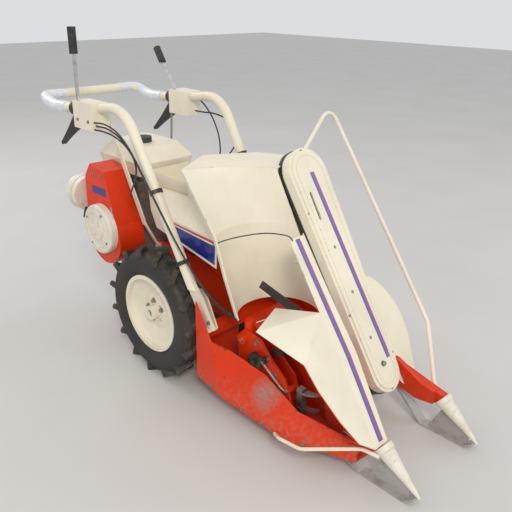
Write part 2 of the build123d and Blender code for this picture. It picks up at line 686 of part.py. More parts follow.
def deflector():
    """Curved spring strip from the hood down to its clamp behind the right cover."""
    stay = STAY_X + PLATE + SEAT_GAP
    outline = [(stay, -606), (stay + 4, -606), (stay + 4, -572), (-90, -486), (-120, -392), (-124, -392),
               (-95, -488), (stay, -574)]
    plane = Plane(origin=(0, -560, 350), x_dir=(1, 0, 0), z_dir=(0, -0.55, 1))
    return plane * Pos(0, 560, 0) * flat_plate(outline, 0, 26)


def cover_stay():
    """Plate that carries the right cover on the pan's floor."""
    drop = 3.6
    floor = 44 + PAN_WALL[2] + SEAT_GAP
    outline = [(-690, floor), (-640, floor), (-600, 300), (-578, 420), (-600.5 + drop, 444), (-693 + drop, 316),
               (-728 + drop, 268)]
    return side_plate(outline, STAY_X, PLATE)


# Hood front sheet: height, then right edge, middle and left edge in (x, y)
HOOD_SECTIONS = [
    (HOOD_TOP_Z, (-180, -155), (-72, -215), (30, -322)),
    (569, (-198, -318), (-80, -285), (32, -405)),
    (450, (-196, -362), (-72, -305), (34, -468)),
    (HOOD_LOW_Z, (-170, -380), (-58, -318), (38, -500)),
]


def circle_through(a, b, c):
    """Centre and radius of the circle through three points in (x, y)."""
    d = 2 * (a[0] * (b[1] - c[1]) + b[0] * (c[1] - a[1]) + c[0] * (a[1] - b[1]))
    sq = [p[0] ** 2 + p[1] ** 2 for p in (a, b, c)]
    x = (sq[0] * (b[1] - c[1]) + sq[1] * (c[1] - a[1]) + sq[2] * (a[1] - b[1])) / d
    y = (sq[0] * (c[0] - b[0]) + sq[1] * (a[0] - c[0]) + sq[2] * (b[0] - a[0])) / d
    return (x, y), sqrt((a[0] - x) ** 2 + (a[1] - y) ** 2)


def hood_section(height, right, middle, left):
    """Thin arc band of the hood's front sheet at one height."""
    (cx, cy), radius = circle_through(right, middle, left)
    share = 1 + SHEET / radius
    far = [(cx + (x - cx) * share, cy + (y - cy) * share) for x, y in (right, middle, left)]
    near = ThreePointArc((*right, height), (*middle, height), (*left, height))
    back = ThreePointArc((*far[2], height), (*far[1], height), (*far[0], height))
    return make_face([near, Line(near @ 1, back @ 0), back, Line(back @ 1, near @ 0)])


def hood():
    """Curved guard behind the throat with its top deck."""
    front = loft([hood_section(*row) for row in HOOD_SECTIONS], ruled=True)
    (_, right, middle, left) = HOOD_SECTIONS[0]
    z = HOOD_TOP_Z
    deck_edge = [
        ThreePointArc((*right, z), (*middle, z), (*left, z)),
        Polyline((*left, z), (150, -296, z), (176, -262, z), (120, -150, z), (-30, -68, z), (*right, z)),
    ]
    deck = extrude(make_face(deck_edge), SHEET, dir=(0, 0, 1))
    side = flat_plate([(174, -262), (176, -262), (120, -150), (-30, -68), (-31, -70), (118, -152)], z - 26, 27)
    (rx, ry) = right
    lip = flat_plate([(-30, -68), (rx, ry), (rx + 1, ry - 2), (-29, -70)], z - HOOD_LIP, HOOD_LIP + 1)
    returns = []
    for height, (x, y), _, _ in HOOD_SECTIONS:
        leg = Polyline((x, y, height), (x + SHEET, y, height), (x + SHEET + 5, y + HOOD_LIP, height),
                       (x + 5, y + HOOD_LIP, height), close=True)
        returns.append(make_face(leg))
    back = -RAISER_DEPTH - CHAIN_DEPTH - PLATE
    hood = fuse([front, deck, side, lip, loft(returns, ruled=True)]) - raiser_slab(-CHAIN_PROUD - SEAT_GAP, back - SEAT_GAP, 1)
    return hood - raiser_box(SEAT_GAP, back - RAISER_BACK_DEPTH - SEAT_GAP, back + 1)


def hood_stay():
    """Bracket from the front of the frame to the hood's back."""
    y = HEADER_FRONT_Y
    outline = [(y, 280), (y + 26, 280), (y + 26, 350), (-307.4, 396), (-311.4, 360), (y, 330)]
    return side_plate(outline, -FRAME_HALF - RAIL_WALL - SEAT_GAP - 8, 8)


# Belt cover sections: y, right foot, right fold, right shoulder, left shoulder, left fold, left foot in (x, z)
COVER_SECTIONS = [
    (168, (-96, 470), (-96, 515), (-76, 588), (86, 588), (122, 545), (132, 500)),
    (-258, (-146, 442), (-142, 528), (-70, 604), (76, 604), (142, 548), (150, 458)),
]


def belt_cover():
    """Saddle-shaped cover over the belt drive, open below."""
    wall = SHEET
    faces = []
    for y, *points in COVER_SECTIONS:
        steps = [(wall, 0), (wall, -wall / 2), (wall / 2, -wall), (-wall / 2, -wall), (-wall, -wall / 2), (-wall, 0)]
        inner = [(x + dx, z + dz) for (x, z), (dx, dz) in zip(points, steps)]
        ring = points + inner[::-1]
        faces.append(make_face(Polyline(*[(x, y, z) for x, z in ring], close=True)))
    cover = loft(faces, ruled=True)
    front = COVER_SECTIONS[1][0]
    side = side_plate([(front, 458), (front, 548), (-348, 560), (-415, 455)], COVER_SECTIONS[1][-1][0] - wall, wall)
    cut = side_plate([(64, 430), (180, 430), (180, 600)], -200, 400)
    tray = Pos(TRAY_X, 60, TRAY_Z) * Rot(90, 0, 0) * Cylinder(TRAY_R + SEAT_GAP, 300)
    return fuse([cover, side]) - cut - tray


def cover_stays():
    """Two straps that carry the belt cover on the drive case."""
    straps = []
    for y in (-180, -100):
        low = 430 + (y + 240) * 32 / 140 + 1.5
        (rear_y, *rear), (front_y, *front) = COVER_SECTIONS
        share = (y + 5 - rear_y) / (front_y - rear_y)
        high = rear[2][1] + share * (front[2][1] - rear[2][1]) - SHEET - SEAT_GAP
        straps.append(block((-34, 34), (y, y + 5), (low, high)))
    return straps


def twine_tray():
    """Half-pipe tray for the twine ball."""
    length = TRAY_REAR_Y - TRAY_FRONT_Y
    ring = Circle(TRAY_R) - Circle(TRAY_R - SHEET)
    half = ring & Pos(0, -TRAY_R, 0) * Rectangle(3 * TRAY_R, 2 * TRAY_R)
    plane = Plane(origin=(TRAY_X, TRAY_REAR_Y, TRAY_Z), x_dir=(1, 0, 0), z_dir=(0, -1, 0))
    floor = extrude(plane * half, length)
    end = Circle(TRAY_R) & Pos(0, -TRAY_R, 0) * Rectangle(3 * TRAY_R, 2 * TRAY_R)
    wall = extrude(plane * end, SHEET)
    return fuse([floor, wall])


def relay_box():
    """Small box on the cover under the hood."""
    return block((-104, -44), (-160, -84), (600.6, 660))


def engine_block():
    """Crankcase and inclined finned cylinder as one mass."""
    base = block((-ENGINE_HALF, ENGINE_HALF), (208, 350), (BED_Z + SEAT_GAP, 520))
    head = block((-74, 20), (350, 400), (420, 560))
    for k in range(7):
        z = 436 + 18 * k
        head -= block((-75, 21), (372, 401), (z, z + 9))
    top = block((-74, 70), (220, 350), (520, 584))
    posts = [block((x, x + 18), (y, y + 22), (583, TANK_Z - SEAT_GAP)) for x in (-60, 44) for y in (226, 318)]
    return fuse([base, head, top, *posts])


def fan_shroud():
    """Blower housing round the crank's right end, drawn up over the cylinder."""
    y, z = ENGINE_Y + 4, CRANK_Z - 30
    inner = -ENGINE_HALF - SEAT_GAP
    ring = Pos(y, z) * Circle(SHROUD_R)
    horn = make_face(Polyline((y - 99, z + 8), (y - 28, 632), (y + 56, 646), (y + 92, 600), (y + 99, z + 8), close=True))
    plane = Plane(origin=(inner, 0, 0), x_dir=(0, 1, 0), z_dir=(1, 0, 0))
    shroud = extrude(plane * (ring + horn), SHROUD_OUTER_X - inner)
    tank_side = TANK_X - TANK_WIDTH / 2 - SEAT_GAP
    return shroud - block((tank_side, 0), (0, 500), (TANK_Z - SEAT_GAP, 700))


def recoil_starter():
    """Round starter cover with a raised centre and a pull grip."""
    x = SHROUD_OUTER_X - SEAT_GAP
    drum = bar_x(STARTER_R, x - STARTER_DEPTH, x, ENGINE_Y, CRANK_Z)
    drum = fillet(drum.edges().group_by(Axis.X)[0], 9)
    boss = bar_x(34, x - STARTER_DEPTH - 3, x - STARTER_DEPTH + 1, ENGINE_Y, CRANK_Z)
    return fuse([drum, boss])


def muffler():
    """Muffler guard round the engine's left rear corner."""
    side = block((ENGINE_HALF + SEAT_GAP, 130), (ENGINE_Y - 26, 402), (424, 574))
    rear = block((20 + SEAT_GAP, 130), (350 + SEAT_GAP, 402), (424, 574))
    guard = fuse([side, rear])
    for k in range(5):
        y = ENGINE_Y - 8 + 26 * k
        guard -= block((100, 126), (y, y + 12), (571, 575))
        guard -= block((127, 131), (y, y + 12), (470, 540))
    return guard


def crank_cover():
    """Ribbed cover on the crankcase's left side, above the pulley."""
    face = ENGINE_HALF + SEAT_GAP
    rings = [(40, 0, 8), (34, 8, 12), (40, 12, 16), (34, 16, 20), (38, 20, 25), (13, 25, 29)]
    return fuse([bar_x(r, face + a, face + b, CRANK_COVER_Y, CRANK_COVER_Z) for r, a, b in rings])


def air_cleaner():
    """Ribbed canister behind the cylinder."""
    y0, y1 = 416.0, 496.0
    rings = [(64, y0, y0 + 22), (58, y0 + 22, y0 + 30), (64, y0 + 30, y0 + 52), (54, y0 + 52, y1)]
    parts = [Pos(-152, (a + b) / 2, 515) * Rot(90, 0, 0) * Cylinder(r, b - a) for r, a, b in rings]
    return fuse(parts)


def carburettor():
    """Carburettor body between the cylinder and the canister."""
    front = ENGINE_Y + 4 + SHROUD_R + 2.3
    body = block((-134, -74 - SEAT_GAP), (front, 415.7), (486, 530))
    return fuse([body, block((-122, -86), (front, 410), (440, 487))])


def fuel_tank():
    """Moulded tank with a shoulder and a bevelled top."""
    levels = [(0, 10), (TANK_HEIGHT * 0.5, 0), (TANK_HEIGHT, 34)]
    faces = []
    for rise, inset in levels:
        shape = RectangleRounded(TANK_WIDTH - 2 * inset, TANK_LENGTH - 2 * inset, 22)
        faces.append(Pos(TANK_X, TANK_Y, TANK_Z + rise) * shape)
    return loft(faces, ruled=True)


def fuel_cap():
    """Ribbed filler cap."""
    return Pos(TANK_X - 20, TANK_Y - 20, TANK_Z + TANK_HEIGHT + 9) * Cylinder(29, 18)


def rear_bar():
    """Channel bar at the engine's left with two triangular holes."""
    bar = block((124, 170), (212, 372), (338, 406)) - block((123, 166), (216, 368), (342, 410))
    for y in (255, 325):
        bar -= side_plate([(y - 16, 356), (y + 14, 356), (y - 16, 388)], 160, 20)
    arm = block((FRAME_HALF + RAIL_WALL, 125), (204, 222), (BED_Z - RAIL_WALL, BED_Z))
    post = block((124, 130), (204, 246), (BED_Z - RAIL_WALL, 345))
    return fuse([bar, arm, post])


def drive_pulley():
    """Belt pulley under the engine's left side."""
    face = FRAME_HALF + RAIL_WALL + SEAT_GAP
    return fuse([bar_x(85, 100, 122, 310, 262), bar_x(16, face, 101, 310, 262)])


def handle_foot_y():
    """Where the handles' feet stand so that their tubes clear the tyres."""
    lean = radians(HANDLE_LEAN)
    reach = TYRE_R + RUNNING_GAP + HANDLE_D / 2
    return -(reach + sin(lean) * (AXLE_Z - HANDLE_FOOT_Z)) / cos(lean)


FOOT_Y = handle_foot_y()
BEND_Y = FOOT_Y + (HANDLE_BEND_Z - HANDLE_FOOT_Z) * tan(radians(HANDLE_LEAN))
RIGHT_HANDLE = [
    (-HANDLE_FOOT_X, FOOT_Y, HANDLE_FOOT_Z), (-184, BEND_Y, HANDLE_BEND_Z), (-188, 380, 824), (-194, 530, 816),
]
LEFT_HANDLE = [
    (HANDLE_FOOT_X, FOOT_Y, HANDLE_FOOT_Z), (200, BEND_Y, HANDLE_BEND_Z), (204, 380, 824), (206, 530, 812),
]
CORNERS = [(HANDLE_RIGHT_X, HANDLE_REAR_Y, CROSSBAR_Z), (HANDLE_LEFT_X, HANDLE_REAR_Y, CROSSBAR_Z)]
CORNER_R = 44.0


def handle_tube(diameter):
    """Loop of both handles and the crossbar behind the grips, each run swept by itself."""
    points = [Vector(*p) for p in (*RIGHT_HANDLE, *CORNERS, *LEFT_HANDLE[::-1])]
    path = FilletPolyline(*points, radius=[115, 300, 200, CORNER_R, CORNER_R, 200, 300, 115])
    runs = []
    for run in path.edges():
        section = Plane(origin=run @ 0, z_dir=run % 0) * Circle(diameter / 2)
        runs.append(sweep(section, path=run))
    return fuse(runs)


def leg_point(z, forward):
    """Point in (y, z) beside a handle's leg: the leg's middle at one height, moved square to it."""
    lean = radians(HANDLE_LEAN)
    return (FOOT_Y + (z - HANDLE_FOOT_Z) * tan(lean) - forward * cos(lean), z + forward * sin(lean))


FOOT_FLAT_Z = 366.0


def handle_loop():
    """Loop handle, its legs flattened to plates where they stand on their feet."""
    loop = handle_tube(HANDLE_D) - block((-300, 300), (-400, -100), (100, FOOT_FLAT_Z))
    top = HEADER_TOP_Z + PLATE
    outline = [(FOOT_Y - 30, top), (FOOT_Y + 17, top), leg_point(FOOT_FLAT_Z, -15), leg_point(FOOT_FLAT_Z + 26, -13),
               leg_point(FOOT_FLAT_Z + 26, 13), leg_point(FOOT_FLAT_Z - 30, 28)]
    plates = [side_plate(outline, side * (HANDLE_FOOT_X + 1) - 5, 10) for side in (-1, 1)]
    return fuse([loop, *plates])


def handle_feet():
    """Foot plates under the handle's ends with their inner gussets."""
    feet = []
    y = FOOT_Y
    for side in (-1, 1):
        x = side * HANDLE_FOOT_X
        edge = (BEAM_X if side > 0 else -PAN_X - PAN_WALL[0]) - SEAT_GAP - HANDLE_FOOT_X
        sole = block((x - edge, x + edge), (y - 24, y + 22), (HEADER_TOP_Z, HEADER_TOP_Z + PLATE))
        inner = x - side * (HANDLE_D / 2 + 3)
        web = side_plate([(y - 20, 260), (y + 20, 260), (y + 66, 360), (y + 34, 366)], inner - 2.5, 5)
        feet.append(fuse([sole, web]))
    return feet


def grips():
    """Sleeves on both grips."""
    made = []
    for side, corner in ((RIGHT_HANDLE, CORNERS[0]), (LEFT_HANDLE, CORNERS[1])):
        a, b, c = Vector(*side[2]), Vector(*side[3]), Vector(*corner)
        path = FilletPolyline(a + (b - a) * 0.45, b, b + (c - b) * 0.42, radius=200)
        plane = Plane(origin=path @ 0, z_dir=path % 0)
        ring = Circle(GRIP_D / 2) - Circle(HANDLE_D / 2 + 0.2)
        made.append(sweep(plane * ring, path=path))
    return made


# Sheet brackets round the handles: x from and to, y from and to, and the top
BRACKETS = [(-222, -160, 238, 352, 857), (170, 238, 268, 364, 855)]
BRACKET_LOW_Z = 772.0


def handle_boxes():
    """Sheet brackets clamped round both handles, open below."""
    boxes = []
    tube_hole = handle_tube(HANDLE_D + 2 * SEAT_GAP)
    for x0, x1, y0, y1, top in BRACKETS:
        outer = block((x0, x1), (y0, y1), (BRACKET_LOW_Z, top))
        inner = block((x0 + 3, x1 - 3), (y0 + 3, y1 - 3), (BRACKET_LOW_Z - 1, top - 3))
        boxes.append(outer - inner - tube_hole)
    return boxes


LEVER_X = (-188.5, 204.0)
LEVER_WIDTH = 14.0
CLAMP_R = 23.0
CLAMP_WIDTH = 16.0
LEVER_ROOT_Z = 823.0 - CLAMP_R - 0.9


def clutch_levers():
    """Both clutch levers, which curve down and back from their clamps under the grips."""
    levers = []
    for x in LEVER_X:
        at = x - LEVER_WIDTH / 2
        edge = [
            Line((at, 370, LEVER_ROOT_Z), (at, 404, LEVER_ROOT_Z)),
            ThreePointArc((at, 404, LEVER_ROOT_Z), (at, 447, 752), (at, 504, 697)),
            ThreePointArc((at, 504, 697), (at, 508, 688), (at, 498, 686)),
            ThreePointArc((at, 498, 686), (at, 436, 727), (at, 374, 762)),
            Line((at, 374, 762), (at, 370, LEVER_ROOT_Z)),
        ]
        levers.append(extrude(make_face(edge), LEVER_WIDTH, dir=(1, 0, 0)))
    return levers


def lever_clamps():
    """Clamp rings round the handles that carry the clutch levers."""
    clamps = []
    for side in (RIGHT_HANDLE, LEFT_HANDLE):
        a, b = Vector(*side[2]), Vector(*side[3])
        plane = Plane(origin=a + (b - a) * 0.03, z_dir=b - a)
        clamps.append(extrude(plane * (Circle(CLAMP_R) - Circle(HANDLE_D / 2 + SEAT_GAP)), CLAMP_WIDTH))
    return clamps


def shift_lever():
    """Upright lever at the right handle."""
    foot, neck = (-212, 330, BRACKETS[0][4] + SEAT_GAP), (-212, 330, 1000)
    return fuse([bar_between(foot, neck, 6), bar_between(neck, (-212, 330, LEVER_TOP_Z), 13)])


def drive_lever():
    """Leaning lever at the left handle."""
    foot, neck = (180, 338, BRACKETS[1][4] + SEAT_GAP + 4.2), (185, 412, 944)
    return fuse([bar_between(foot, neck, 6), bar_between(neck, (190, 452, 992), 13)])


def control_rod():
    """Rod from the left clutch lever down to the rear bar."""
    x = LEVER_X[1] - LEVER_WIDTH / 2 - SEAT_GAP - 4
    return bar_between((x, 380, 780), (150, 360, 346.4), 4)


def handle_stay():
    """Flat bar from the right bracket down to the frame's side, outside the belt cover."""
    top = BRACKETS[0][1] + SEAT_GAP
    frame = -FRAME_HALF - RAIL_WALL - SEAT_GAP
    head = block((top, top + 5), (246, 274), (BRACKET_LOW_Z + 34, 830))
    foot = block((frame - 5, frame), (118, 146), (344, 390))
    upper = flat_bar((top + 4.5, 260, BRACKET_LOW_Z + 40), (-104, 158, 456), 22, 5, (0, 1, 0.4))
    lower = flat_bar((-104, 158, 459), (frame - 5.2, 132, 380), 22, 5, (0, 1, 0.4))
    return fuse([head, upper, lower, foot])


# Cables and the fuel hose, point by point in (x, y, z), with the arc's radius at each inner point
CABLE_D = 5.2
HOSE_D = 8.0
CABLES_RIGHT = [
    [(-215, 237.6, 800), (-215, 180, 806), (-214, 110, 792), (-213, 50, 750), (-211, -14, 668), (-209, -74, 597),
     (-206, -136, 522), (-200, -186, 460), (-184, -244, 384), (-152, -292, 322), (-118, -330, 296)],
    [(-208, 237.6, 788), (-208, 180, 792), (-207, 110, 776), (-206, 44, 730), (-205, -30, 640), (-203, -92, 566),
     (-199, -150, 494), (-192, -198, 434), (-176, -246, 366), (-146, -288, 310), (-110, -322, 281)],
    [(-215, 237.6, 778), (-214, 190, 780), (-212, 136, 776), (-211, 78, 758), (-209, 40, 728), (-206, 30, 692),
     (-201, 50, 650), (-188, 92, 610), (-166, 138, 578), (-140, 168, 556)],
]
CABLES_LEFT = [
    [(226, 266.2, 831), (226, 228, 812), (225, 182, 772), (222, 146, 716), (217, 132, 654), (206, 148, 604),
     (184, 176, 574), (150, 184, 560)],
    [(216, 267.6, 786), (217, 226, 786), (220, 166, 790), (225, 104, 778), (226, 64, 748), (223, 54, 706),
     (215, 78, 664), (200, 116, 628), (176, 150, 590), (148, 168, 560)],
]
FUEL_HOSE = [(-92, 402, TANK_Z - SEAT_GAP), (-104, 401, 590), (-138, 399, 566), (-144, 399, 520), (-144, 399.5, 478),
             (-126, 399, 456.3)]


def cord(points, diameter):
    """Round cord along its points, each arc as large as its two runs allow."""
    radii = []
    for before, here, after in zip(points, points[1:], points[2:]):
        a, b, c = Vector(*before), Vector(*here), Vector(*after)
        turn = radians((b - a).get_angle(c - b))
        radii.append(0.45 * min((b - a).length, (c - b).length) / tan(turn / 2))
    return tube(points, radii, diameter)


def control_cables():
    """Three cables by the right leg, two of them down to the binding gear, and two that loop by the left leg."""
    return [cord(points, CABLE_D) for points in CABLES_RIGHT + CABLES_LEFT]


def fuel_hose():
    """Hose from the tank down to the carburettor's bowl."""
    return cord(FUEL_HOSE, HOSE_D)




def build_all():
    """Every node of the machine."""
    return {
        "tyre_right": wheel_tyre(-1),
        "tyre_left": wheel_tyre(1),
        "rim_right": wheel_rim(-1),
        "rim_left": wheel_rim(1),
        "axle": axle(),
        "gear_case": gear_case(),
        "main_frame": main_frame(),
        "chain_case": chain_case(),
        "base_right": base_right(),
        "base_left": base_left(),
        "cutter_deck": cutter_deck(),
        "cutter_knife": cutter_knife(),
        "divider_tips": divider_tips(),
        "skids": skids(),
        "right_cover": right_cover(),
        "raiser_case": raiser_case(),
        "raiser_front_plate": raiser_front_plate(),
        "raiser_chain": raiser_chain(),
        "raiser_fingers": raiser_fingers(),
        "raiser_back": raiser_back(),
        "left_wing": left_wing(),
        "divider_post_left": divider_post_left(),
        "guide_rod": guide_rod(),
        "stem_hoop": stem_hoop(),
        "cover_rim": cover_rim(),
        "knotter_frame": knotter_frame(),
        "knotter_gears": knotter_gears(),
        "packers": packers(),
        "deflector": deflector(),
        "cover_stay": cover_stay(),
        "hood": hood(),
        "hood_stay": hood_stay(),
        "belt_cover": belt_cover(),
        "cover_stays": cover_stays(),
        "twine_tray": twine_tray(),
        "relay_box": relay_box(),
        "engine_block": engine_block(),
        "fan_shroud": fan_shroud(),
        "recoil_starter": recoil_starter(),
        "muffler": muffler(),
        "crank_cover": crank_cover(),
        "air_cleaner": air_cleaner(),
        "carburettor": carburettor(),
        "fuel_tank": fuel_tank(),
        "fuel_cap": fuel_cap(),
        "rear_bar": rear_bar(),
        "drive_pulley": drive_pulley(),
        "handle_loop": handle_loop(),
        "handle_feet": handle_feet(),
        "grips": grips(),
        "handle_boxes": handle_boxes(),
        "clutch_levers": clutch_levers(),
        "shift_lever": shift_lever(),
        "drive_lever": drive_lever(),
        "control_rod": control_rod(),
        "lever_clamps": lever_clamps(),
        "handle_stay": handle_stay(),
        "control_cables": control_cables(),
        "fuel_hose": fuel_hose(),
    }


def solids_of(shape):
    """Every solid of a node."""
    items = shape if isinstance(shape, list) else [shape]
    return [solid for item in items for solid in item.solids()]


def save(nodes):
    """One STEP file for each node, about the origin under the middle of the box."""
    os.makedirs("parts", exist_ok=True)
    boxes = [solid.bounding_box() for shape in nodes.values() for solid in solids_of(shape)]
    shift_x = -(min(box.min.X for box in boxes) + max(box.max.X for box in boxes)) / 2
    shift_y = -(min(box.min.Y for box in boxes) + max(box.max.Y for box in boxes)) / 2
    print(f"origin shift x {shift_x:.4f} y {shift_y:.4f}")
    place = Pos(shift_x, shift_y, 0)
    for name, shape in nodes.items():
        found = [place * solid for solid in solids_of(shape)]
        whole = found[0] if len(found) == 1 else Compound(children=found)
        export_step(whole, f"parts/{name}.step")


save(build_all())
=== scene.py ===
"""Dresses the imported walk-behind reaper binder: finishes, stripes, fittings, stage, lights and camera."""
import json
import math

import bmesh
import bpy
from mathutils import Matrix, Vector
from mathutils.bvhtree import BVHTree


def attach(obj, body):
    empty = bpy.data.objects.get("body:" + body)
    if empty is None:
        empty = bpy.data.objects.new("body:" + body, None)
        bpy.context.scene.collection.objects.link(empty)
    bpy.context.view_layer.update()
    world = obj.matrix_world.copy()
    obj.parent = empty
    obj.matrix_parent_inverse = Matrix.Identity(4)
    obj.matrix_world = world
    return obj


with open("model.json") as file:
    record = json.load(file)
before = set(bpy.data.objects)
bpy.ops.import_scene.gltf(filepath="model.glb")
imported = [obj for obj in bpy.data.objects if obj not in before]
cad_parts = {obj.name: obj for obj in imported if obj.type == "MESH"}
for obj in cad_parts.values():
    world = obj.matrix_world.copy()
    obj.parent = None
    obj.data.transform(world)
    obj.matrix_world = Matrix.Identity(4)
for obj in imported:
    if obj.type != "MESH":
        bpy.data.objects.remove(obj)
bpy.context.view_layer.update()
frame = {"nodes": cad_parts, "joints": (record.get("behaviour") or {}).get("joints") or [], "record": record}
NODES = frame["nodes"]
SLOT_OF = {part["node"]: part["material_slot"] for part in frame["record"]["subparts"]}
MM = 0.001

# The machine's own datum: midway between the wheels, at the axle, on the ground
SPINS = {joint["name"]: Vector(joint["pos_m"]) for joint in frame["joints"]}
DATUM = (SPINS["wheel_right_spin"] + SPINS["wheel_left_spin"]) / 2
AXLE_Z = DATUM.z
DATUM.z = 0.0


def at(x, y, z):
    """Point given in millimetres about the machine's datum, as metres in the shared frame."""
    return DATUM + Vector((x, y, z)) * MM


# Colours, linear RGB
CREAM = (0.86, 0.80, 0.65)
CREAM_DUSTY = (0.66, 0.60, 0.48)
CREAM_CHIP = (0.34, 0.26, 0.19)
ORANGE = (0.76, 0.040, 0.004)
ORANGE_DARK = (0.48, 0.040, 0.007)
BARE = (0.30, 0.27, 0.24)
BED_STEEL = (0.075, 0.07, 0.065)
BED_STAIN = (0.16, 0.12, 0.09)
BLUE = (0.004, 0.014, 0.22)
VIOLET = (0.21, 0.115, 0.37)
MAGENTA = (0.50, 0.10, 0.22)
STRIPE_BLUE = (0.08, 0.10, 0.42)
RED_LINE = (0.62, 0.05, 0.05)
WHITE = (0.80, 0.79, 0.76)
DUST = (0.26, 0.20, 0.14)
MUD = (0.15, 0.12, 0.09)
RUST = (0.16, 0.055, 0.02)
RUBBER = (0.016, 0.016, 0.017)
RUBBER_DUSTY = (0.10, 0.085, 0.068)
ROD = (0.74, 0.74, 0.75)
ROD_GRIMY = (0.42, 0.38, 0.33)
GRIP = (0.018, 0.018, 0.019)
GRIP_GRIMY = (0.060, 0.056, 0.052)
# Bluish grey painted as shade in the creases of the grips' film wrap
FILM_CREASE_SHADE = (0.62, 0.67, 0.78)
FILM_WHITE = (0.86, 0.87, 0.88)
FLOOR_DARK = (0.60, 0.59, 0.575)
FLOOR_LIGHT = (0.63, 0.62, 0.605)
SKY = (0.90, 0.91, 0.93)

# Reach in metres of the edge wear, and the cosines between which an edge goes from flat to worn
EDGE_REACH = 0.004
EDGE_COSINES = (0.985, 0.90)


class Finish:
    """A procedural material under construction."""

    def __init__(self, name):
        self.material = bpy.data.materials.new(name)
        self.material.use_nodes = True
        self.tree = self.material.node_tree
        self.tree.nodes.clear()
        self.shader = self.add("ShaderNodeBsdfPrincipled")
        output = self.add("ShaderNodeOutputMaterial")
        self.tree.links.new(self.shader.outputs["BSDF"], output.inputs["Surface"])
        self.place = self.add("ShaderNodeTexCoord").outputs["Object"]

    def add(self, kind, **settings):
        """New node with its settings."""
        node = self.tree.nodes.new(kind)
        for key, value in settings.items():
            setattr(node, key, value)
        return node

    def feed(self, socket, value):
        """Links a socket to another, or sets its constant."""
        if isinstance(value, bpy.types.NodeSocket):
            self.tree.links.new(value, socket)
        elif isinstance(value, tuple) and len(value) == 3 and socket.type == "RGBA":
            socket.default_value = (*value, 1.0)
        else:
            socket.default_value = value

    def set(self, **values):
        """Feeds the shader's sockets, spaces written as underscores."""
        for key, value in values.items():
            self.feed(self.shader.inputs[key.replace("_", " ")], value)

    def noise(self, scale, detail, stretch=(1, 1, 1), roughness=0.55):
        """Noise value at a scale in 1/m, stretched along the frame's axes."""
        place = self.place
        if stretch != (1, 1, 1):
            mapping = self.add("ShaderNodeMapping")
            self.tree.links.new(place, mapping.inputs["Vector"])
            mapping.inputs["Scale"].default_value = stretch
            place = mapping.outputs["Vector"]
        node = self.add("ShaderNodeTexNoise")
        self.tree.links.new(place, node.inputs["Vector"])
        node.inputs["Scale"].default_value = scale
        node.inputs["Detail"].default_value = detail
        node.inputs["Roughness"].default_value = roughness
        return node.outputs["Fac"]

    def span(self, value, low, high, start=0.0, end=1.0):
        """Value mapped from low..high to start..end, clamped."""
        node = self.add("ShaderNodeMapRange")
        self.feed(node.inputs["Value"], value)
        for key, number in (("From Min", low), ("From Max", high), ("To Min", start), ("To Max", end)):
            node.inputs[key].default_value = number
        return node.outputs["Result"]

    def maths(self, operation, a, b):
        """Result of a maths node."""
        node = self.add("ShaderNodeMath", operation=operation)
        self.feed(node.inputs[0], a)
        self.feed(node.inputs[1], b)
        return node.outputs["Value"]

    def vector(self, operation, a, b=(0.0, 0.0, 0.0)):
        """Outputs of a vector maths node."""
        node = self.add("ShaderNodeVectorMath", operation=operation)
        self.feed(node.inputs[0], a)
        self.feed(node.inputs[1], b)
        return node.outputs

    def mix(self, share, a, b):
        """Colour between a and b."""
        node = self.add("ShaderNodeMix", data_type="RGBA")
        self.feed(node.inputs["Factor"], share)
        self.feed(node.inputs[6], a)
        self.feed(node.inputs[7], b)
        return node.outputs[2]

    def axis(self, name):
        """One object coordinate."""
        node = self.add("ShaderNodeSeparateXYZ")
        self.tree.links.new(self.place, node.inputs["Vector"])
        return node.outputs[name]

    def bump(self, height, strength, distance):
        """Bump from a height, with its distance in metres."""
        node = self.add("ShaderNodeBump")
        self.feed(node.inputs["Height"], height)
        node.inputs["Strength"].default_value = strength
        node.inputs["Distance"].default_value = distance
        self.tree.links.new(node.outputs["Normal"], self.shader.inputs["Normal"])

    def edges(self):
        """1 on sharp edges, 0 on flats."""
        bevel = self.add("ShaderNodeBevel", samples=4)
        bevel.inputs["Radius"].default_value = EDGE_REACH
        plain = self.add("ShaderNodeNewGeometry").outputs["Normal"]
        cosine = self.vector("DOT_PRODUCT", bevel.outputs["Normal"], plain)["Value"]
        return self.span(cosine, *EDGE_COSINES)


# Noise scales in 1/m of the sheet paint's patches, grime streaks, dust specks, edge chips, spots and scuffs
PATCHES, STREAKS, SPECKS, CHIPS, SPOTS, SCUFFS = 5.0, 26.0, 90.0, 70.0, 190.0, 150.0
# Share of its tone that faded paint keeps, and the dust's share of the colour and of the roughness
FADED, DUST_COLOUR, DUST_ROUGH = 0.88, 0.75, 0.35
# Half the width in metres of the change from paint to bare steel
STEEL_BLEND = 0.02


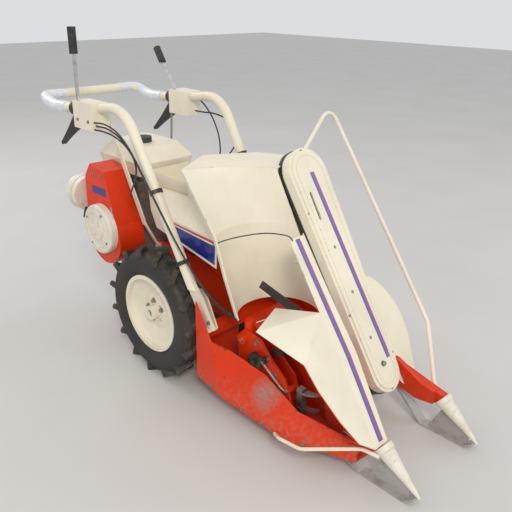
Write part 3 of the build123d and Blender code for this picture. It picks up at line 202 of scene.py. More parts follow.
def sheet_paint(name, base, dusty, chip, chips, dust_top, gloss=0.28, dirt=0.5, spot=0.735, scuffs=(),
                steel_behind=None):
    """Old enamel on sheet metal: faded tone, dust low down, grime streaks, chipped edges, scuffed spots."""
    finish = Finish(name)
    tone = finish.span(finish.noise(PATCHES, 4.0), 0.35, 0.72)
    streaks = finish.span(finish.noise(STREAKS, 5.0, stretch=(1, 1, 0.22)), 0.50, 0.78, 0.0, dirt)
    low = finish.span(finish.axis("Z"), dust_top, 0.02)
    specks = finish.span(finish.noise(SPECKS, 5.0), 0.42, 0.70)
    dust = finish.maths("MULTIPLY", low, specks)
    colour = finish.mix(tone, base, tuple(FADED * c for c in base))
    colour = finish.mix(streaks, colour, dusty)
    colour = finish.mix(finish.maths("MULTIPLY", dust, DUST_COLOUR), colour, DUST)
    # Chips on the edges and small bare spots on the flats
    chipped = finish.span(finish.noise(CHIPS, 4.0), chips, chips + 0.05)
    worn = finish.maths("MULTIPLY", finish.edges(), chipped)
    spots = finish.span(finish.noise(SPOTS, 3.0), spot, spot + 0.015)
    colour = finish.mix(finish.maths("MAXIMUM", worn, spots), colour, chip)
    for place, radius in scuffs:
        away = finish.vector("DISTANCE", finish.place, at(*place))["Value"]
        near = finish.span(away, radius * MM, radius * MM * 0.15)
        rubbed = finish.span(finish.noise(SCUFFS, 6.0, stretch=(1, 0.25, 1)), 0.30, 0.66, 0.25, 0.95)
        colour = finish.mix(finish.maths("MULTIPLY", near, rubbed), colour, BARE)
    if steel_behind is not None:
        edge = DATUM.y + steel_behind * MM
        behind = finish.span(finish.axis("Y"), edge - STEEL_BLEND, edge + STEEL_BLEND)
        colour = finish.mix(behind, colour, finish.mix(streaks, BED_STEEL, BED_STAIN))
    finish.set(Base_Color=colour)
    rough = finish.span(finish.noise(40.0, 4.0), 0.3, 0.7, gloss, gloss + 0.16)
    finish.set(Roughness=finish.maths("ADD", rough, finish.maths("MULTIPLY", dust, DUST_ROUGH)))
    finish.set(Coat_Weight=0.08, Coat_Roughness=0.18, Specular_IOR_Level=0.28)
    finish.bump(finish.noise(420.0, 3.0), 0.10, 0.0004)
    return finish.material


# Distances in metres from the axle between which the sidewall turns into tread, and the mud's share there
TREAD_FROM, TREAD_TO = 0.188, 0.214
MUD_SHARE = 0.55


def tyre_rubber():
    """Black rubber with dry mud in the tread and a dusty sidewall."""
    finish = Finish("tyre_rubber")
    spoke = finish.vector("SUBTRACT", finish.place, (0.0, DATUM.y, AXLE_Z))["Vector"]
    flat = finish.vector("MULTIPLY", spoke, (0.0, 1.0, 1.0))["Vector"]
    tread = finish.span(finish.vector("LENGTH", flat)["Value"], TREAD_FROM, TREAD_TO)
    mud = finish.maths("MULTIPLY", finish.span(finish.noise(34.0, 6.0), 0.42, 0.66), MUD_SHARE)
    film = finish.span(finish.noise(11.0, 4.0), 0.35, 0.8, 0.05, 0.45)
    colour = finish.mix(film, RUBBER, RUBBER_DUSTY)
    colour = finish.mix(finish.maths("MULTIPLY", tread, mud), colour, MUD)
    finish.set(Base_Color=colour, Roughness=finish.span(film, 0.0, 0.5, 0.55, 0.9))
    finish.bump(finish.noise(260.0, 5.0), 0.35, 0.0012)
    return finish.material


# Half the height in metres of the change from rod to grip
GRIP_BLEND = 0.0005


def lever_rod(name, grip_low):
    """Chromed rod with a black moulded grip above one height in millimetres."""
    finish = Finish(name)
    grip = finish.span(finish.axis("Z"), grip_low * MM - GRIP_BLEND, grip_low * MM + GRIP_BLEND)
    grime = finish.span(finish.noise(60.0, 5.0), 0.45, 0.75)
    rod = finish.mix(grime, ROD, ROD_GRIMY)
    black = finish.mix(grime, GRIP, GRIP_GRIMY)
    finish.set(Base_Color=finish.mix(grip, rod, black))
    finish.set(Metallic=finish.span(grip, 0.0, 1.0, 1.0, 0.0))
    finish.set(Roughness=finish.span(grip, 0.0, 1.0, 0.16, 0.48))
    finish.bump(finish.noise(260.0, 3.0), 0.10, 0.0004)
    return finish.material


def metal(name, colour, stain, roughness, metallic=1.0, stains=0.55):
    """Bare metal with stains and a fine grain."""
    finish = Finish(name)
    marks = finish.span(finish.noise(28.0, 6.0), stains, stains + 0.22)
    finish.set(Base_Color=finish.mix(marks, colour, stain))
    finish.set(Metallic=finish.span(marks, 0.0, 1.0, metallic, metallic * 0.35))
    finish.set(Roughness=finish.span(finish.noise(60.0, 4.0), 0.3, 0.7, roughness, roughness + 0.2))
    finish.bump(finish.noise(300.0, 4.0), 0.2, 0.0006)
    return finish.material


def plastic(name, colour, tired, roughness):
    """Moulded plastic, a little tired."""
    finish = Finish(name)
    wear = finish.span(finish.noise(18.0, 5.0), 0.40, 0.75)
    grime = finish.span(finish.noise(55.0, 5.0, stretch=(1, 1, 0.4)), 0.58, 0.80, 0.0, 0.55)
    finish.set(Base_Color=finish.mix(grime, finish.mix(wear, colour, tired), DUST))
    finish.set(Roughness=finish.span(finish.noise(35.0, 4.0), 0.3, 0.7, roughness, roughness + 0.18))
    finish.bump(finish.noise(300.0, 3.0), 0.12, 0.0006)
    return finish.material


def film_wrap():
    """Clear film wound round the grips, white and creased, with bluish grey painted shade in its creases."""
    finish = Finish("film_wrap")
    creases = finish.noise(75.0, 6.0, stretch=(1, 0.35, 1), roughness=0.7)
    # Bluish grey where the creases run deep is painted shade, driven by the same noise as the bump
    finish.set(Base_Color=finish.mix(finish.span(creases, 0.35, 0.7), FILM_CREASE_SHADE, FILM_WHITE))
    finish.set(Roughness=finish.span(creases, 0.3, 0.7, 0.12, 0.42), Coat_Weight=0.6, Coat_Roughness=0.12)
    finish.bump(creases, 0.9, 0.004)
    return finish.material


def decal(name, colour, roughness=0.35):
    """Coloured film with a slightly uneven tone."""
    finish = Finish(name)
    tone = finish.span(finish.noise(60.0, 4.0), 0.35, 0.75)
    scuffs = finish.span(finish.noise(160.0, 4.0), 0.66, 0.74, 0.0, 0.5)
    darker = tuple(0.8 * c for c in colour)
    pale = tuple(0.55 * c + 0.25 for c in colour)
    finish.set(Base_Color=finish.mix(scuffs, finish.mix(tone, colour, darker), pale))
    finish.set(Roughness=roughness, Coat_Weight=0.3)
    finish.bump(finish.noise(500.0, 2.0), 0.05, 0.0003)
    return finish.material


# Paint that the orange sheets share
ORANGE_SHEET = {"base": ORANGE, "dusty": ORANGE_DARK, "chip": RUST, "chips": 0.56, "dust_top": 0.16}

FINISHES = {
    "tyre_rubber": tyre_rubber(),
    "cream_paint": sheet_paint("cream_paint", CREAM, CREAM_DUSTY, CREAM_CHIP, chips=0.62, dust_top=0.12,
                               gloss=0.32, dirt=0.28, spot=0.775),
    "orange_paint": sheet_paint("orange_paint", **ORANGE_SHEET, scuffs=[((-152, -480, 122), 58)]),
    "bed_paint": sheet_paint("bed_paint", **ORANGE_SHEET, steel_behind=340),
    "white_plastic": plastic("white_plastic", (0.80, 0.77, 0.68), (0.68, 0.62, 0.50), 0.38),
    "black_plastic": plastic("black_plastic", (0.022, 0.022, 0.024), (0.055, 0.052, 0.048), 0.45),
    "red_rubber": plastic("red_rubber", (0.52, 0.035, 0.025), (0.36, 0.04, 0.03), 0.45),
    "grey_steel": metal("grey_steel", (0.36, 0.35, 0.33), (0.17, 0.11, 0.07), 0.42),
    "dark_steel": metal("dark_steel", (0.07, 0.065, 0.06), (0.10, 0.07, 0.045), 0.48, metallic=0.8),
    "skid_steel": metal("skid_steel", (0.46, 0.45, 0.43), (0.26, 0.22, 0.18), 0.5, metallic=0.35),
    "engine_metal": metal("engine_metal", (0.42, 0.41, 0.39), (0.16, 0.13, 0.10), 0.5, metallic=0.85,
                          stains=0.45),
    "muffler_paint": metal("muffler_paint", (0.028, 0.032, 0.052), (0.09, 0.07, 0.06), 0.42, metallic=0.2,
                           stains=0.62),
    "lever_right": lever_rod("lever_right", 1000),
    "lever_left": lever_rod("lever_left", 944),
    "grip_wrap": film_wrap(),
    "blue_band": decal("blue_band", BLUE, 0.28),
    "violet_stripe": decal("violet_stripe", VIOLET),
    "magenta_edge": decal("magenta_edge", MAGENTA),
    "blue_edge": decal("blue_edge", STRIPE_BLUE),
    "red_line": decal("red_line", RED_LINE),
    "white_line": decal("white_line", WHITE),
    "blank_label": decal("blank_label", (0.70, 0.70, 0.68)),
    "silver_label": decal("silver_label", (0.42, 0.44, 0.47), 0.25),
}

# Nodes that look different from their slot's finish
OWN_FINISH = {"shift_lever": "lever_right", "drive_lever": "lever_left", "main_frame": "bed_paint",
              "relay_box": "cream_paint", "skids": "skid_steel"}


def finish_nodes():
    """Every CAD node takes the finish of its slot, or its own."""
    for name, node in NODES.items():
        node.data.materials.clear()
        node.data.materials.append(FINISHES[OWN_FINISH.get(name, SLOT_OF[name])])


# The machine's sides as signs of x, and the x in millimetres where rays towards them start
RIGHT, LEFT = -1, 1
BESIDE = 300
# How far in metres a ray for a film or for a bolt starts before its point, and how high a film lies
FILM_RAY = 0.2
BOLT_RAY = 0.3
FILM_LIFT = 0.0005


def surface_of(name):
    """Search tree of a CAD node's surface."""
    mesh = NODES[name].data
    corners = [vertex.co.copy() for vertex in mesh.vertices]
    return BVHTree.FromPolygons(corners, [tuple(face.vertices) for face in mesh.polygons])


def land(tree, point, direction, lift=0.0):
    """Point where a ray meets a surface, lifted off it, with the surface's normal, or None."""
    hit, normal, _, _ = tree.ray_cast(point, direction)
    if hit is None:
        return None
    if normal.dot(direction) > 0:
        normal = -normal
    return hit + normal * lift, normal


def inward(side):
    """Direction of a ray that comes from one side of the machine."""
    return Vector((-side, 0, 0))


def around(centre, radius, angle):
    """The y and z of a point on a circle about the y and z of its centre."""
    y, z = centre
    return y + radius * math.cos(angle), z + radius * math.sin(angle)


def mesh_of(name, build):
    """Mesh made by a function that fills a bmesh."""
    bm = bmesh.new()
    build(bm)
    bmesh.ops.recalc_face_normals(bm, faces=bm.faces)
    mesh = bpy.data.meshes.new(name)
    bm.to_mesh(mesh)
    bm.free()
    return mesh


def add_piece(name, build, slot, finishes=(), body="chassis"):
    """New object that rides on a body and shows its finishes, or the finish named by its slot."""
    mesh = mesh_of(name, build)
    piece = bpy.data.objects.new(name, mesh)
    bpy.context.scene.collection.objects.link(piece)
    for finish in finishes or (slot,):
        mesh.materials.append(FINISHES[finish])
    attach(piece, body)


def straight(a, b):
    """Edge from a to b as a function of the share along it."""
    return lambda share: a.lerp(b, share)


def add_film(name, node, edges, direction, columns, shares, finishes, slot="cream_paint"):
    """Film draped on a node between two long edges, split across at shares into bands of their own finish."""
    tree = surface_of(node)
    low, high = edges

    def build(bm):
        rows = []
        for share in shares:
            starts = [low(k / columns).lerp(high(k / columns), share) for k in range(columns + 1)]
            hits = [land(tree, start - direction * FILM_RAY, direction, FILM_LIFT) for start in starts]
            rows.append([bm.verts.new(hit[0]) if hit else None for hit in hits])
        for band, (near, far) in enumerate(zip(rows, rows[1:])):
            for k in range(columns):
                ring = [near[k], near[k + 1], far[k + 1], far[k]]
                if all(ring):
                    bm.faces.new(ring).material_index = band
        bmesh.ops.delete(bm, geom=[v for v in bm.verts if not v.link_faces], context="VERTS")

    add_piece(name, build, slot, finishes)


def standing(place, direction):
    """Matrix that stands z along a direction at a place."""
    return Matrix.Translation(place) @ direction.to_track_quat("Z", "Y").to_matrix().to_4x4()


def cone(bm, stand, sides, low, high, depth, middle=0.0, caps=True):
    """Cone along a matrix's z: number of sides, its two radii, its depth and the height of its middle."""
    bmesh.ops.create_cone(bm, cap_ends=caps, segments=sides, radius1=low, radius2=high, depth=depth,
                          matrix=stand @ Matrix.Translation((0, 0, middle)))


def hex_bolt(bm, place, normal, size):
    """Hexagon head with a washer and a rounded crown, at a place on a surface."""
    stand = standing(place, normal)
    tall = size * 0.65
    washer = size * 0.16
    cone(bm, stand, 20, size * 1.12, size * 1.05, washer, size * 0.08)
    cone(bm, stand, 6, size * 0.86, size * 0.86, tall, washer + tall / 2)
    cone(bm, stand, 18, size * 0.70, size * 0.5, tall * 0.18, washer + tall * 1.09)


def pan_screw(bm, place, normal, size):
    """Domed screw head with a raised cross, at a place on a surface."""
    stand = standing(place, normal)
    for low, high, depth, middle in ((1.0, 0.9, 0.22, 0.11), (0.9, 0.55, 0.2, 0.32)):
        cone(bm, stand, 16, size * low, size * high, size * depth, size * middle)
    bar = Matrix.Diagonal((size * 0.7, size * 0.12, size * 0.06, 1.0))
    for spin in (0, math.pi / 2):
        bmesh.ops.create_cube(bm, size=1.0, matrix=stand @ Matrix.Translation((0, 0, size * 0.43))
                              @ Matrix.Rotation(spin, 4, "Z") @ bar)


def add_bolts(name, node, spots, aim, size):
    """Bolt heads where rays from the given points, in machine millimetres, meet a node."""
    tree = surface_of(node)
    hits = [land(tree, at(*spot) - aim * BOLT_RAY, aim) for spot in spots]

    def build(bm):
        for hit in hits:
            if hit:
                hex_bolt(bm, *hit, size * MM)

    add_piece(name, build, "grey_steel")


def rounded_route(points, steps=6):
    """Points of a smooth curve through the given points, in metres from machine millimetres."""
    route = []
    points = [at(*point) for point in points]
    ends = [points[0], *points, points[-1]]
    for k in range(len(points) - 1):
        p0, p1, p2, p3 = ends[k:k + 4]
        for step in range(steps):
            t = step / steps
            route.append(0.5 * ((2 * p1) + (p2 - p0) * t + (2 * p0 - 5 * p1 + 4 * p2 - p3) * t * t
                                + (3 * p1 - p0 - 3 * p2 + p3) * t * t * t))
    route.append(points[-1])
    return route


def wire(bm, route, radius, sides=8):
    """Round wire along a route of points in metres, closed at both ends."""
    rows = []
    side = None
    for k, here in enumerate(route):
        along = (route[min(k + 1, len(route) - 1)] - route[max(k - 1, 0)]).normalized()
        if side is None:
            side = along.orthogonal().normalized()
        side = (side - along * side.dot(along)).normalized()
        up = along.cross(side)
        rows.append([bm.verts.new(here + (side * math.cos(a) + up * math.sin(a)) * radius)
                     for a in (2 * math.pi * j / sides for j in range(sides))])
    for near, far in zip(rows, rows[1:]):
        for j in range(sides):
            bm.faces.new([near[j], near[(j + 1) % sides], far[(j + 1) % sides], far[j]])
    bm.faces.new(rows[0])
    bm.faces.new(rows[-1])


# Points on each turn of a spring, and the share of its length that is straight at each end
COIL_STEPS = 12
COIL_END = 0.08


def coil(start, end, radius, turns):
    """Route of a coil spring between two points, with straight ends on its axis."""
    axis = (end - start).normalized()
    side = axis.orthogonal().normalized()
    up = axis.cross(side)
    count = turns * COIL_STEPS
    route = [start]
    for k in range(count + 1):
        share = COIL_END + (1 - 2 * COIL_END) * k / count
        angle = 2 * math.pi * k / COIL_STEPS
        route.append(start.lerp(end, share) + (side * math.cos(angle) + up * math.sin(angle)) * radius)
    return [*route, end]


SLEEVE_WALL = 0.0012


def sleeve(bm, a, b, radius, width, share):
    """Short sleeve round the line from a to b, at a share along it."""
    stand = standing(a.lerp(b, share), b - a)
    for round_radius in (radius, radius - SLEEVE_WALL):
        cone(bm, stand, 24, round_radius, round_radius, width, caps=False)


# The raiser's lean from the vertical and the foot of its face, as the solids have them
RAISER_LEAN = math.radians(32.0)
RAISER_FOOT = (116.0, -727.0, 134.0)
RAISER_OUT = Vector((0, -math.cos(RAISER_LEAN), math.sin(RAISER_LEAN)))
# How far in millimetres before its face the rays to the raiser's screws start
RAISER_RAY = 200


def raiser_at(across, up, level=0):
    """Point on the raiser: across its face, up its length and out along its normal, in millimetres."""
    x, y, z = RAISER_FOOT
    rise = math.cos(RAISER_LEAN)
    run = math.sin(RAISER_LEAN)
    return at(x + across, y + up * run - level * rise, z + up * rise + level * run)


STRIPE_HALF = 8.5
STRIPE_BANDS = ["blue_edge", "violet_stripe", "magenta_edge"]
STRIPE_SHARES = [0.0, 0.16, 0.86, 1.0]


def stripes():
    """Violet stripes with blue and magenta edges, on the raiser's plate and on the right cover's ridge."""
    offsets = (-STRIPE_HALF, STRIPE_HALF)
    # Across and up at the ends of the raiser's stripe
    top, low = (6, 672), (28, 92)
    edges = [straight(raiser_at(top[0] + s, top[1]), raiser_at(low[0] + s, low[1])) for s in offsets]
    add_film("raiser_stripe", "raiser_front_plate", edges, -RAISER_OUT, 24, STRIPE_SHARES, STRIPE_BANDS)
    aim = Vector((0, 0.85, -0.52)).normalized()
    head, bend, tail = (-70, -500, 586), (-72, -694, 318), (-84, -826, 128)
    for name, a, b in (("cover_stripe_top", head, bend), ("cover_stripe_low", bend, tail)):
        edges = [straight(at(a[0] + s, a[1], a[2]), at(b[0] + s, b[1], b[2])) for s in offsets]
        add_film(name, "right_cover", edges, aim, 12, STRIPE_SHARES, STRIPE_BANDS)


BAND_FINISHES = ["white_line", "blue_band", "white_line", "red_line"]
BAND_SHARES = [0.0, 0.07, 0.78, 0.85, 0.95]


def side_film(name, node, side, low, high, columns, shares, finishes):
    """Film on one side of a node, between a low and a high edge that are pairs of y and z."""
    edges = [straight(*(at(side * BESIDE, y, z) for y, z in edge)) for edge in (low, high)]
    add_film(name, node, edges, inward(side), columns, shares, finishes)


def side_bands():
    """Blue band with a white border and a red line along both sides of the belt cover."""
    # Name, side, and the y and z of the ends of the low and of the high edge
    table = [
        ("band_right", RIGHT, ((-250, 445), (30, 466)), ((-250, 526), (60, 514))),
        ("band_left", LEFT, ((-405, 461), (60, 494)), ((-346, 552), (20, 548))),
    ]
    for name, side, low, high in table:
        side_film(name, "belt_cover", side, low, high, 40, BAND_SHARES, BAND_FINISHES)


def labels():
    """Blank plates on the blower housing, the relay box and the muffler's guard."""
    # Name, node, side, the y and z of the ends of the low and of the high edge, and finish
    table = [
        ("shroud_label", "fan_shroud", RIGHT,
         ((246, 548), (336, 548)), ((250, 574), (332, 574)), "blue_band"),
        ("shroud_plate", "fan_shroud", RIGHT,
         ((196, 480), (222, 480)), ((200, 520), (226, 520)), "silver_label"),
        ("relay_label", "relay_box", RIGHT,
         ((-148, 612), (-102, 612)), ((-148, 650), (-102, 650)), "blank_label"),
        ("muffler_plate", "muffler", LEFT,
         ((300, 480), (360, 480)), ((300, 520), (360, 520)), "silver_label"),
    ]
    for name, node, side, low, high, finish in table:
        side_film(name, node, side, low, high, 12, [0.0, 0.5, 1.0], [finish, finish])


# Bolts of each hub: how many, their size, their circle's radius and first angle, and where rays to them start
HUB_BOLTS = 5
HUB_BOLT_SIZE = 8.5
HUB_CIRCLE = 38
HUB_TURN = 10
HUB_RAY = 400


def rim_bolts():
    """Five bolts on each wheel's hub."""
    for side, word in ((RIGHT, "right"), (LEFT, "left")):
        def build(bm, side=side, word=word):
            tree = surface_of(f"rim_{word}")
            for k in range(HUB_BOLTS):
                angle = math.radians(360 / HUB_BOLTS * k + HUB_TURN)
                spot = around((0, AXLE_Z / MM), HUB_CIRCLE, angle)
                hit = land(tree, at(side * HUB_RAY, *spot), inward(side))
                if hit:
                    hex_bolt(bm, *hit, HUB_BOLT_SIZE * MM)
        add_piece(f"rim_bolts_{word}", build, "grey_steel", body=f"wheel_{word}")


# The y and z of the starter's centre and of the crankcase cover's
STARTER = (278, 432)
CRANK_COVER = (250, 382)

# Bolts on the machine's sides: name, node, side, size, and the y and z of each
SIDE_BOLTS = [
    ("shroud_bolts", "fan_shroud", RIGHT, 5.5,
     [(200, 452), (366, 446), (214, 330), (352, 330), (268, 618), (330, 610)]),
    ("starter_bolts", "recoil_starter", RIGHT, 4.0, [around(STARTER, 66, a) for a in (0.5, 2.1, 3.7, 5.3)]),
    ("casting_bolts", "knotter_frame", RIGHT, 6.5,
     [(-344, 150), (-350, 238), (-404, 246), (-452, 214), (-525, 140), (-480, 172), (-354, 96), (-520, 84)]),
    ("pan_bolts", "base_right", RIGHT, 5.0,
     [(-250, 92), (-292, 84), (-425, 66), (-505, 58), (-640, 54), (-700, 54)]),
    ("foot_bolts_right", "handle_loop", RIGHT, 6.0, [(-268, 282), (-262, 312), (-236, 346)]),
    ("foot_bolts_left", "handle_loop", LEFT, 6.0, [(-268, 282), (-262, 312), (-236, 346)]),
    ("cover_bolts_left", "belt_cover", LEFT, 4.5, [(130, 470), (20, 446), (-200, 452)]),
    ("bracket_bolts_right", "handle_boxes", RIGHT, 5.0, [(262, 800), (326, 800)]),
    ("bracket_bolts_left", "handle_boxes", LEFT, 5.0, [(286, 798), (344, 798)]),
    ("muffler_bolts", "muffler", LEFT, 4.5, [(262, 440), (392, 440), (262, 556), (392, 556)]),
    ("crank_bolts", "crank_cover", LEFT, 4.0, [around(CRANK_COVER, 24, a) for a in (0.3, 1.87, 3.44, 5.01)]),
    ("pulley_bolt", "drive_pulley", LEFT, 11.0, [(310, 262)]),
    ("bar_bolts", "rear_bar", LEFT, 6.0, [(224, 376), (360, 376)]),
    ("beam_bolts", "base_left", LEFT, 5.5, [(-260, 200), (-340, 200), (-452, 172), (-560, 150)]),
    ("post_bolts", "divider_post_left", LEFT, 5.5, [(-800, 118), (-700, 160), (-656, 150)]),
    ("stay_bolts", "hood_stay", RIGHT, 5.0, [(-290, 310), (-296, 370)]),
]


def fittings():
    """Bolts where the machine's sheets and castings are held, on its sides and behind its engine."""
    for name, node, side, size, spots in SIDE_BOLTS:
        add_bolts(name, node, [(side * BESIDE, y, z) for y, z in spots], inward(side), size)
    corners = [(-60, 500, 430), (0, 500, 430), (-60, 500, 552), (0, 500, 552)]
    add_bolts("engine_bolts", "engine_block", corners, Vector((0, -1, 0)), 5.0)


def raiser_fittings():
    """Screws on the raiser's plate and rim, and the bolt of its chain's adjuster."""
    plate = surface_of("raiser_front_plate")
    case = surface_of("raiser_case")
    # Surface, head, size, and how far across and up each one sits
    table = [
        (plate, pan_screw, 5.0, [(-17, 446), (-16, 308), (-14, 168)]),
        (case, pan_screw, 4.2, [(0, 741), (-62, 560), (62, 420), (-58, 250), (56, 96), (0, 8)]),
        (plate, hex_bolt, 8.0, [(-4, 84)]),
    ]

    def build(bm):
        for surface, head, size, spots in table:
            for across, up in spots:
                hit = land(surface, raiser_at(across, up, RAISER_RAY), -RAISER_OUT)
                if hit:
                    head(bm, *hit, size * MM)

    add_piece("raiser_screws", build, "grey_steel")


def raiser_slot_shade():
    """Black film on the raiser's case under the slot of the chain's adjuster: painted shade in the slot's
    depth.
    """
    edges = [straight(raiser_at(across, 534), raiser_at(across, 616)) for across in (-34, -26)]
    # The black film is painted shade down in the slot, not a dark part of the case
    add_film("raiser_slot_shade", "raiser_case", edges, -RAISER_OUT, 10, [0.0, 1.0],
             ["black_plastic"], "black_plastic")


# Wires and rods: name, radius in mm, finish, and a rounded route in machine millimetres
WIRES = [
    ("crop_wire", 1.6, "dark_steel",
     [(-92, -503, 588), (-108, -496, 604), (-140, -450, 606), (-172, -390, 588), (-186, -330, 560),
      (-188, -292, 536)]),
    ("stalk_bar", 6.0, "black_plastic",
     [(169, -615, 196), (170, -520, 228), (170, -420, 262), (168, -330, 290)]),
    ("twine_wire", 1.4, "white_plastic",
     [(-98, -380, 296), (-92, -420, 322), (-70, -450, 330), (-40, -440, 300), (-20, -410, 262)]),
    ("ignition_lead", 3.4, "black_plastic",
     [(-20, 402, 520), (-20, 430, 516), (-50, 442, 480), (-92, 430, 440),
      (-120, 400, 420), (-130, 384, 410)]),
    ("binder_rod", 6.0, "orange_paint",
     [(121, -296, 322), (124, -350, 322), (126, -420, 300), (128, -480, 262)]),
    ("binder_link", 3.5, "grey_steel",
     [(121, -290, 296), (128, -360, 298), (132, -440, 282), (134, -500, 250)]),
    ("binder_wire", 2.2, "white_plastic",
     [(121, -300, 342), (130, -340, 378), (132, -400, 372), (130, -430, 330), (127, -380, 306),
      (122, -310, 308)]),
    ("gear_rod", 3.2, "grey_steel",
     [(-136, -440, 208), (-133, -470, 184), (-129, -508, 154), (-122, -525, 140)]),
]

# Springs: start, end, radius in mm and number of turns
SPRINGS = [
    ((-132, -356, 132), (-132, -452, 152), 6.5, 16),
    ((-126, -540, 108), (-126, -470, 100), 5.5, 13),
    ((-104, -338, 216), (-104, -338, 150), 7.0, 11),
]
SPRING_WIRE = 1.3


def wires():
    """Thin wires, rods and springs of the binding gear, the left throat's bar and the ignition lead."""
    for name, radius, finish, points in WIRES:
        route = rounded_route(points)
        add_piece(name, lambda bm, route=route, radius=radius: wire(bm, route, radius * MM), finish)

    def build(bm):
        for start, end, radius, turns in SPRINGS:
            wire(bm, coil(at(*start), at(*end), radius * MM, turns), SPRING_WIRE * MM, 6)

    add_piece("gear_springs", build, "grey_steel")


# Straight run of each handle leg, from its foot up
LEG_RIGHT = ((-180, -257.9, 256), (-184, 109.6, 858))
LEG_LEFT = ((180, -257.9, 256), (200, 109.6, 858))


def ties():
    """Black ties that hold the cables to the legs and red tape on the left one."""
    # Name, finish, and the leg, radius and width in metres, and share along the leg of each sleeve
    table = [
        ("cable_ties", "black_plastic", [(LEG_RIGHT, 0.0205, 0.012, 0.30), (LEG_RIGHT, 0.0205, 0.012, 0.62),
                                         (LEG_LEFT, 0.0200, 0.014, 0.70)]),
        ("red_tape", "red_rubber", [(LEG_LEFT, 0.0168, 0.026, 0.61)]),
    ]
    for name, finish, sleeves in table:
        def build(bm, sleeves=sleeves):
            for (foot, head), radius, width, share in sleeves:
                sleeve(bm, at(*foot), at(*head), radius, width, share)
        add_piece(name, build, finish)


# Radius in millimetres of the wound film, on a tube with a radius of 16
WRAP_RADIUS = 17.6


def wraps():
    """Clear film wound on from the grips round the handle's rear bends."""
    # Points of each wrap's line in machine millimetres
    lines = {
        "wrap_right": [(-191, 452, 818.5), (-194, 530, 816), (-192.5, 575, 826), (-188, 603, 834.5),
                       (-170, 619, 837), (-146, 622, 837), (-110, 622, 837)],
        "wrap_left": [(205, 452, 816.5), (206, 530, 813), (205.5, 570, 823), (201, 603, 834), (184, 619, 837),
                      (160, 622, 837), (124, 622, 837)],
    }
    for name, points in lines.items():
        route = rounded_route(points, 8)
        add_piece(name, lambda bm, route=route: wire(bm, route, WRAP_RADIUS * MM, 20), "grip_wrap")


# Where the rays to the starter's face start, in x
STARTER_RAY = -400
# The starter's ribs: how many, first angle, inner reach, length, sweep in radians and number of steps
RIBS, RIB_TURN = 5, 18
RIB_FROM, RIB_LONG, RIB_SWEEP, RIB_STEPS = 20, 40, 0.5, 8
# Reach and radius of wire of each ring, and the step in degrees between its points
RINGS = ((62.0, 2.0), (40.0, 1.6))
RING_STEP = 10


def starter_face():
    """Five raised ribs, two rings and the grip of the rope on the starter's cover."""
    face = surface_of("recoil_starter")

    def drape(bm, polar, radius):
        """Wire laid on the starter's face through points given by reach and angle."""
        spots = [at(STARTER_RAY, *around(STARTER, reach, angle)) for reach, angle in polar]
        hits = [land(face, spot, inward(RIGHT)) for spot in spots]
        wire(bm, [hit[0] for hit in hits if hit], radius * MM, 6)

    def ribs(bm):
        for k in range(RIBS):
            turn = math.radians(360 / RIBS * k + RIB_TURN)
            shares = [step / RIB_STEPS for step in range(RIB_STEPS + 1)]
            drape(bm, [(RIB_FROM + RIB_LONG * share, turn + RIB_SWEEP * share) for share in shares], 2.2)
        for reach, radius in RINGS:
            steps = range(360 // RING_STEP + 1)
            drape(bm, [(reach, math.radians(RING_STEP * step)) for step in steps], radius)

    def grip(bm):
        stand = Matrix.Translation(at(-206, 364, 470)) @ Matrix.Rotation(0.5, 4, "X")
        cone(bm, stand, 16, 7 * MM, 8.5 * MM, 40 * MM)

    add_piece("starter_ribs", ribs, "white_plastic")
    add_piece("starter_grip", grip, "black_plastic")


# The y and z of the oil filler
OIL_FILLER = (198, 388)


def oil_cap():
    """Red filler cap on the engine's left side, ahead of the ribbed cover."""
    turn = Matrix.Rotation(math.pi / 2, 4, "Y")

    def build(bm):
        # Where the neck and the cap start and end in x, and their radii
        for start, end, radius in ((92.5, 116.0, 9.0), (115.0, 128.0, 13.0)):
            stand = Matrix.Translation(at((start + end) / 2, *OIL_FILLER)) @ turn
            cone(bm, stand, 24, radius * MM, radius * MM, (end - start) * MM)

    add_piece("oil_cap", build, "red_rubber")


FLOOR_HALF = 14.0
SKY_STRENGTH = 0.80

# Name, place, aim, size, power and colour of each lamp
LAMPS = [
    ("key", (-2.6, -3.4, 3.6), (0, -0.1, 0.4), 1.2, 105, (1.0, 0.93, 0.82)),
    ("fill", (3.4, -2.0, 2.6), (0, 0, 0.4), 3.0, 14, (0.90, 0.94, 1.0)),
    ("rim", (-0.6, 3.6, 3.0), (0, 0, 0.5), 2.0, 34, (1.0, 0.98, 0.94)),
]


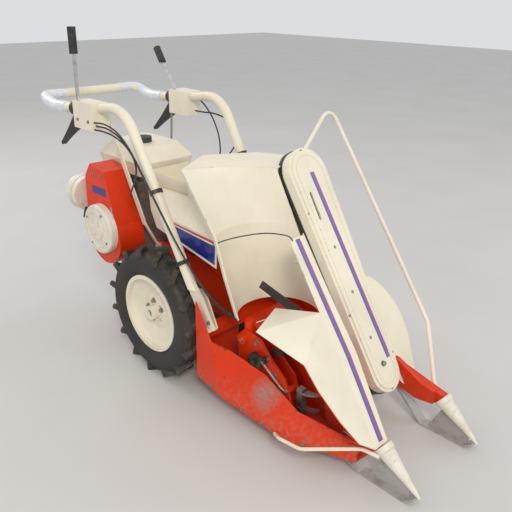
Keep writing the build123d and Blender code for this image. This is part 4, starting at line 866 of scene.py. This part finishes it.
def stage():
    """Pale floor and soft studio lights."""
    floor_mesh = bpy.data.meshes.new("floor")
    corners = [(x * FLOOR_HALF, y * FLOOR_HALF, 0) for x, y in ((-1, -1), (1, -1), (1, 1), (-1, 1))]
    floor_mesh.from_pydata(corners, [], [(0, 1, 2, 3)])
    floor = bpy.data.objects.new("floor", floor_mesh)
    bpy.context.scene.collection.objects.link(floor)
    ground = Finish("floor_paper")
    tone = ground.span(ground.noise(2.0, 3.0), 0.3, 0.7)
    ground.set(Base_Color=ground.mix(tone, FLOOR_DARK, FLOOR_LIGHT), Roughness=0.85)
    floor_mesh.materials.append(ground.material)
    world = bpy.data.worlds.new("studio")
    world.use_nodes = True
    background = world.node_tree.nodes["Background"].inputs
    background["Color"].default_value = (*SKY, 1.0)
    background["Strength"].default_value = SKY_STRENGTH
    bpy.context.scene.world = world
    bpy.context.scene.view_settings.view_transform = "Standard"
    for name, place, aim, size, power, colour in LAMPS:
        lamp = bpy.data.lights.new(name, "AREA")
        lamp.shape = "DISK"
        lamp.size = size
        lamp.energy = power
        lamp.color = colour
        holder = bpy.data.objects.new(name, lamp)
        holder.location = place
        holder.rotation_euler = (Vector(aim) - Vector(place)).to_track_quat("-Z", "Y").to_euler()
        bpy.context.scene.collection.objects.link(holder)


# The photograph's first view: eye in machine millimetres, heading, dip and roll in degrees
EYE = (-1200.0, -1491.0, 1178.0)
HEADING, DIP, ROLL = 44.6, 23.2, 0.8
LENS = 43.0
SENSOR = 36.0


def camera():
    """Camera where the photograph's first view was taken."""
    data = bpy.data.cameras.new("camera")
    data.sensor_width = SENSOR
    data.lens = LENS
    holder = bpy.data.objects.new("camera", data)
    holder.location = at(*EYE)
    turn = Matrix.Rotation(math.radians(-HEADING), 4, "Z") @ Matrix.Rotation(math.radians(90 - DIP), 4, "X")
    holder.rotation_euler = (turn @ Matrix.Rotation(math.radians(ROLL), 4, "Z")).to_euler()
    bpy.context.scene.collection.objects.link(holder)
    bpy.context.scene.camera = holder


camera()
finish_nodes()
stripes()
side_bands()
rim_bolts()
fittings()
raiser_fittings()
labels()
wires()
ties()
wraps()
raiser_slot_shade()
starter_face()
oil_cap()
stage()
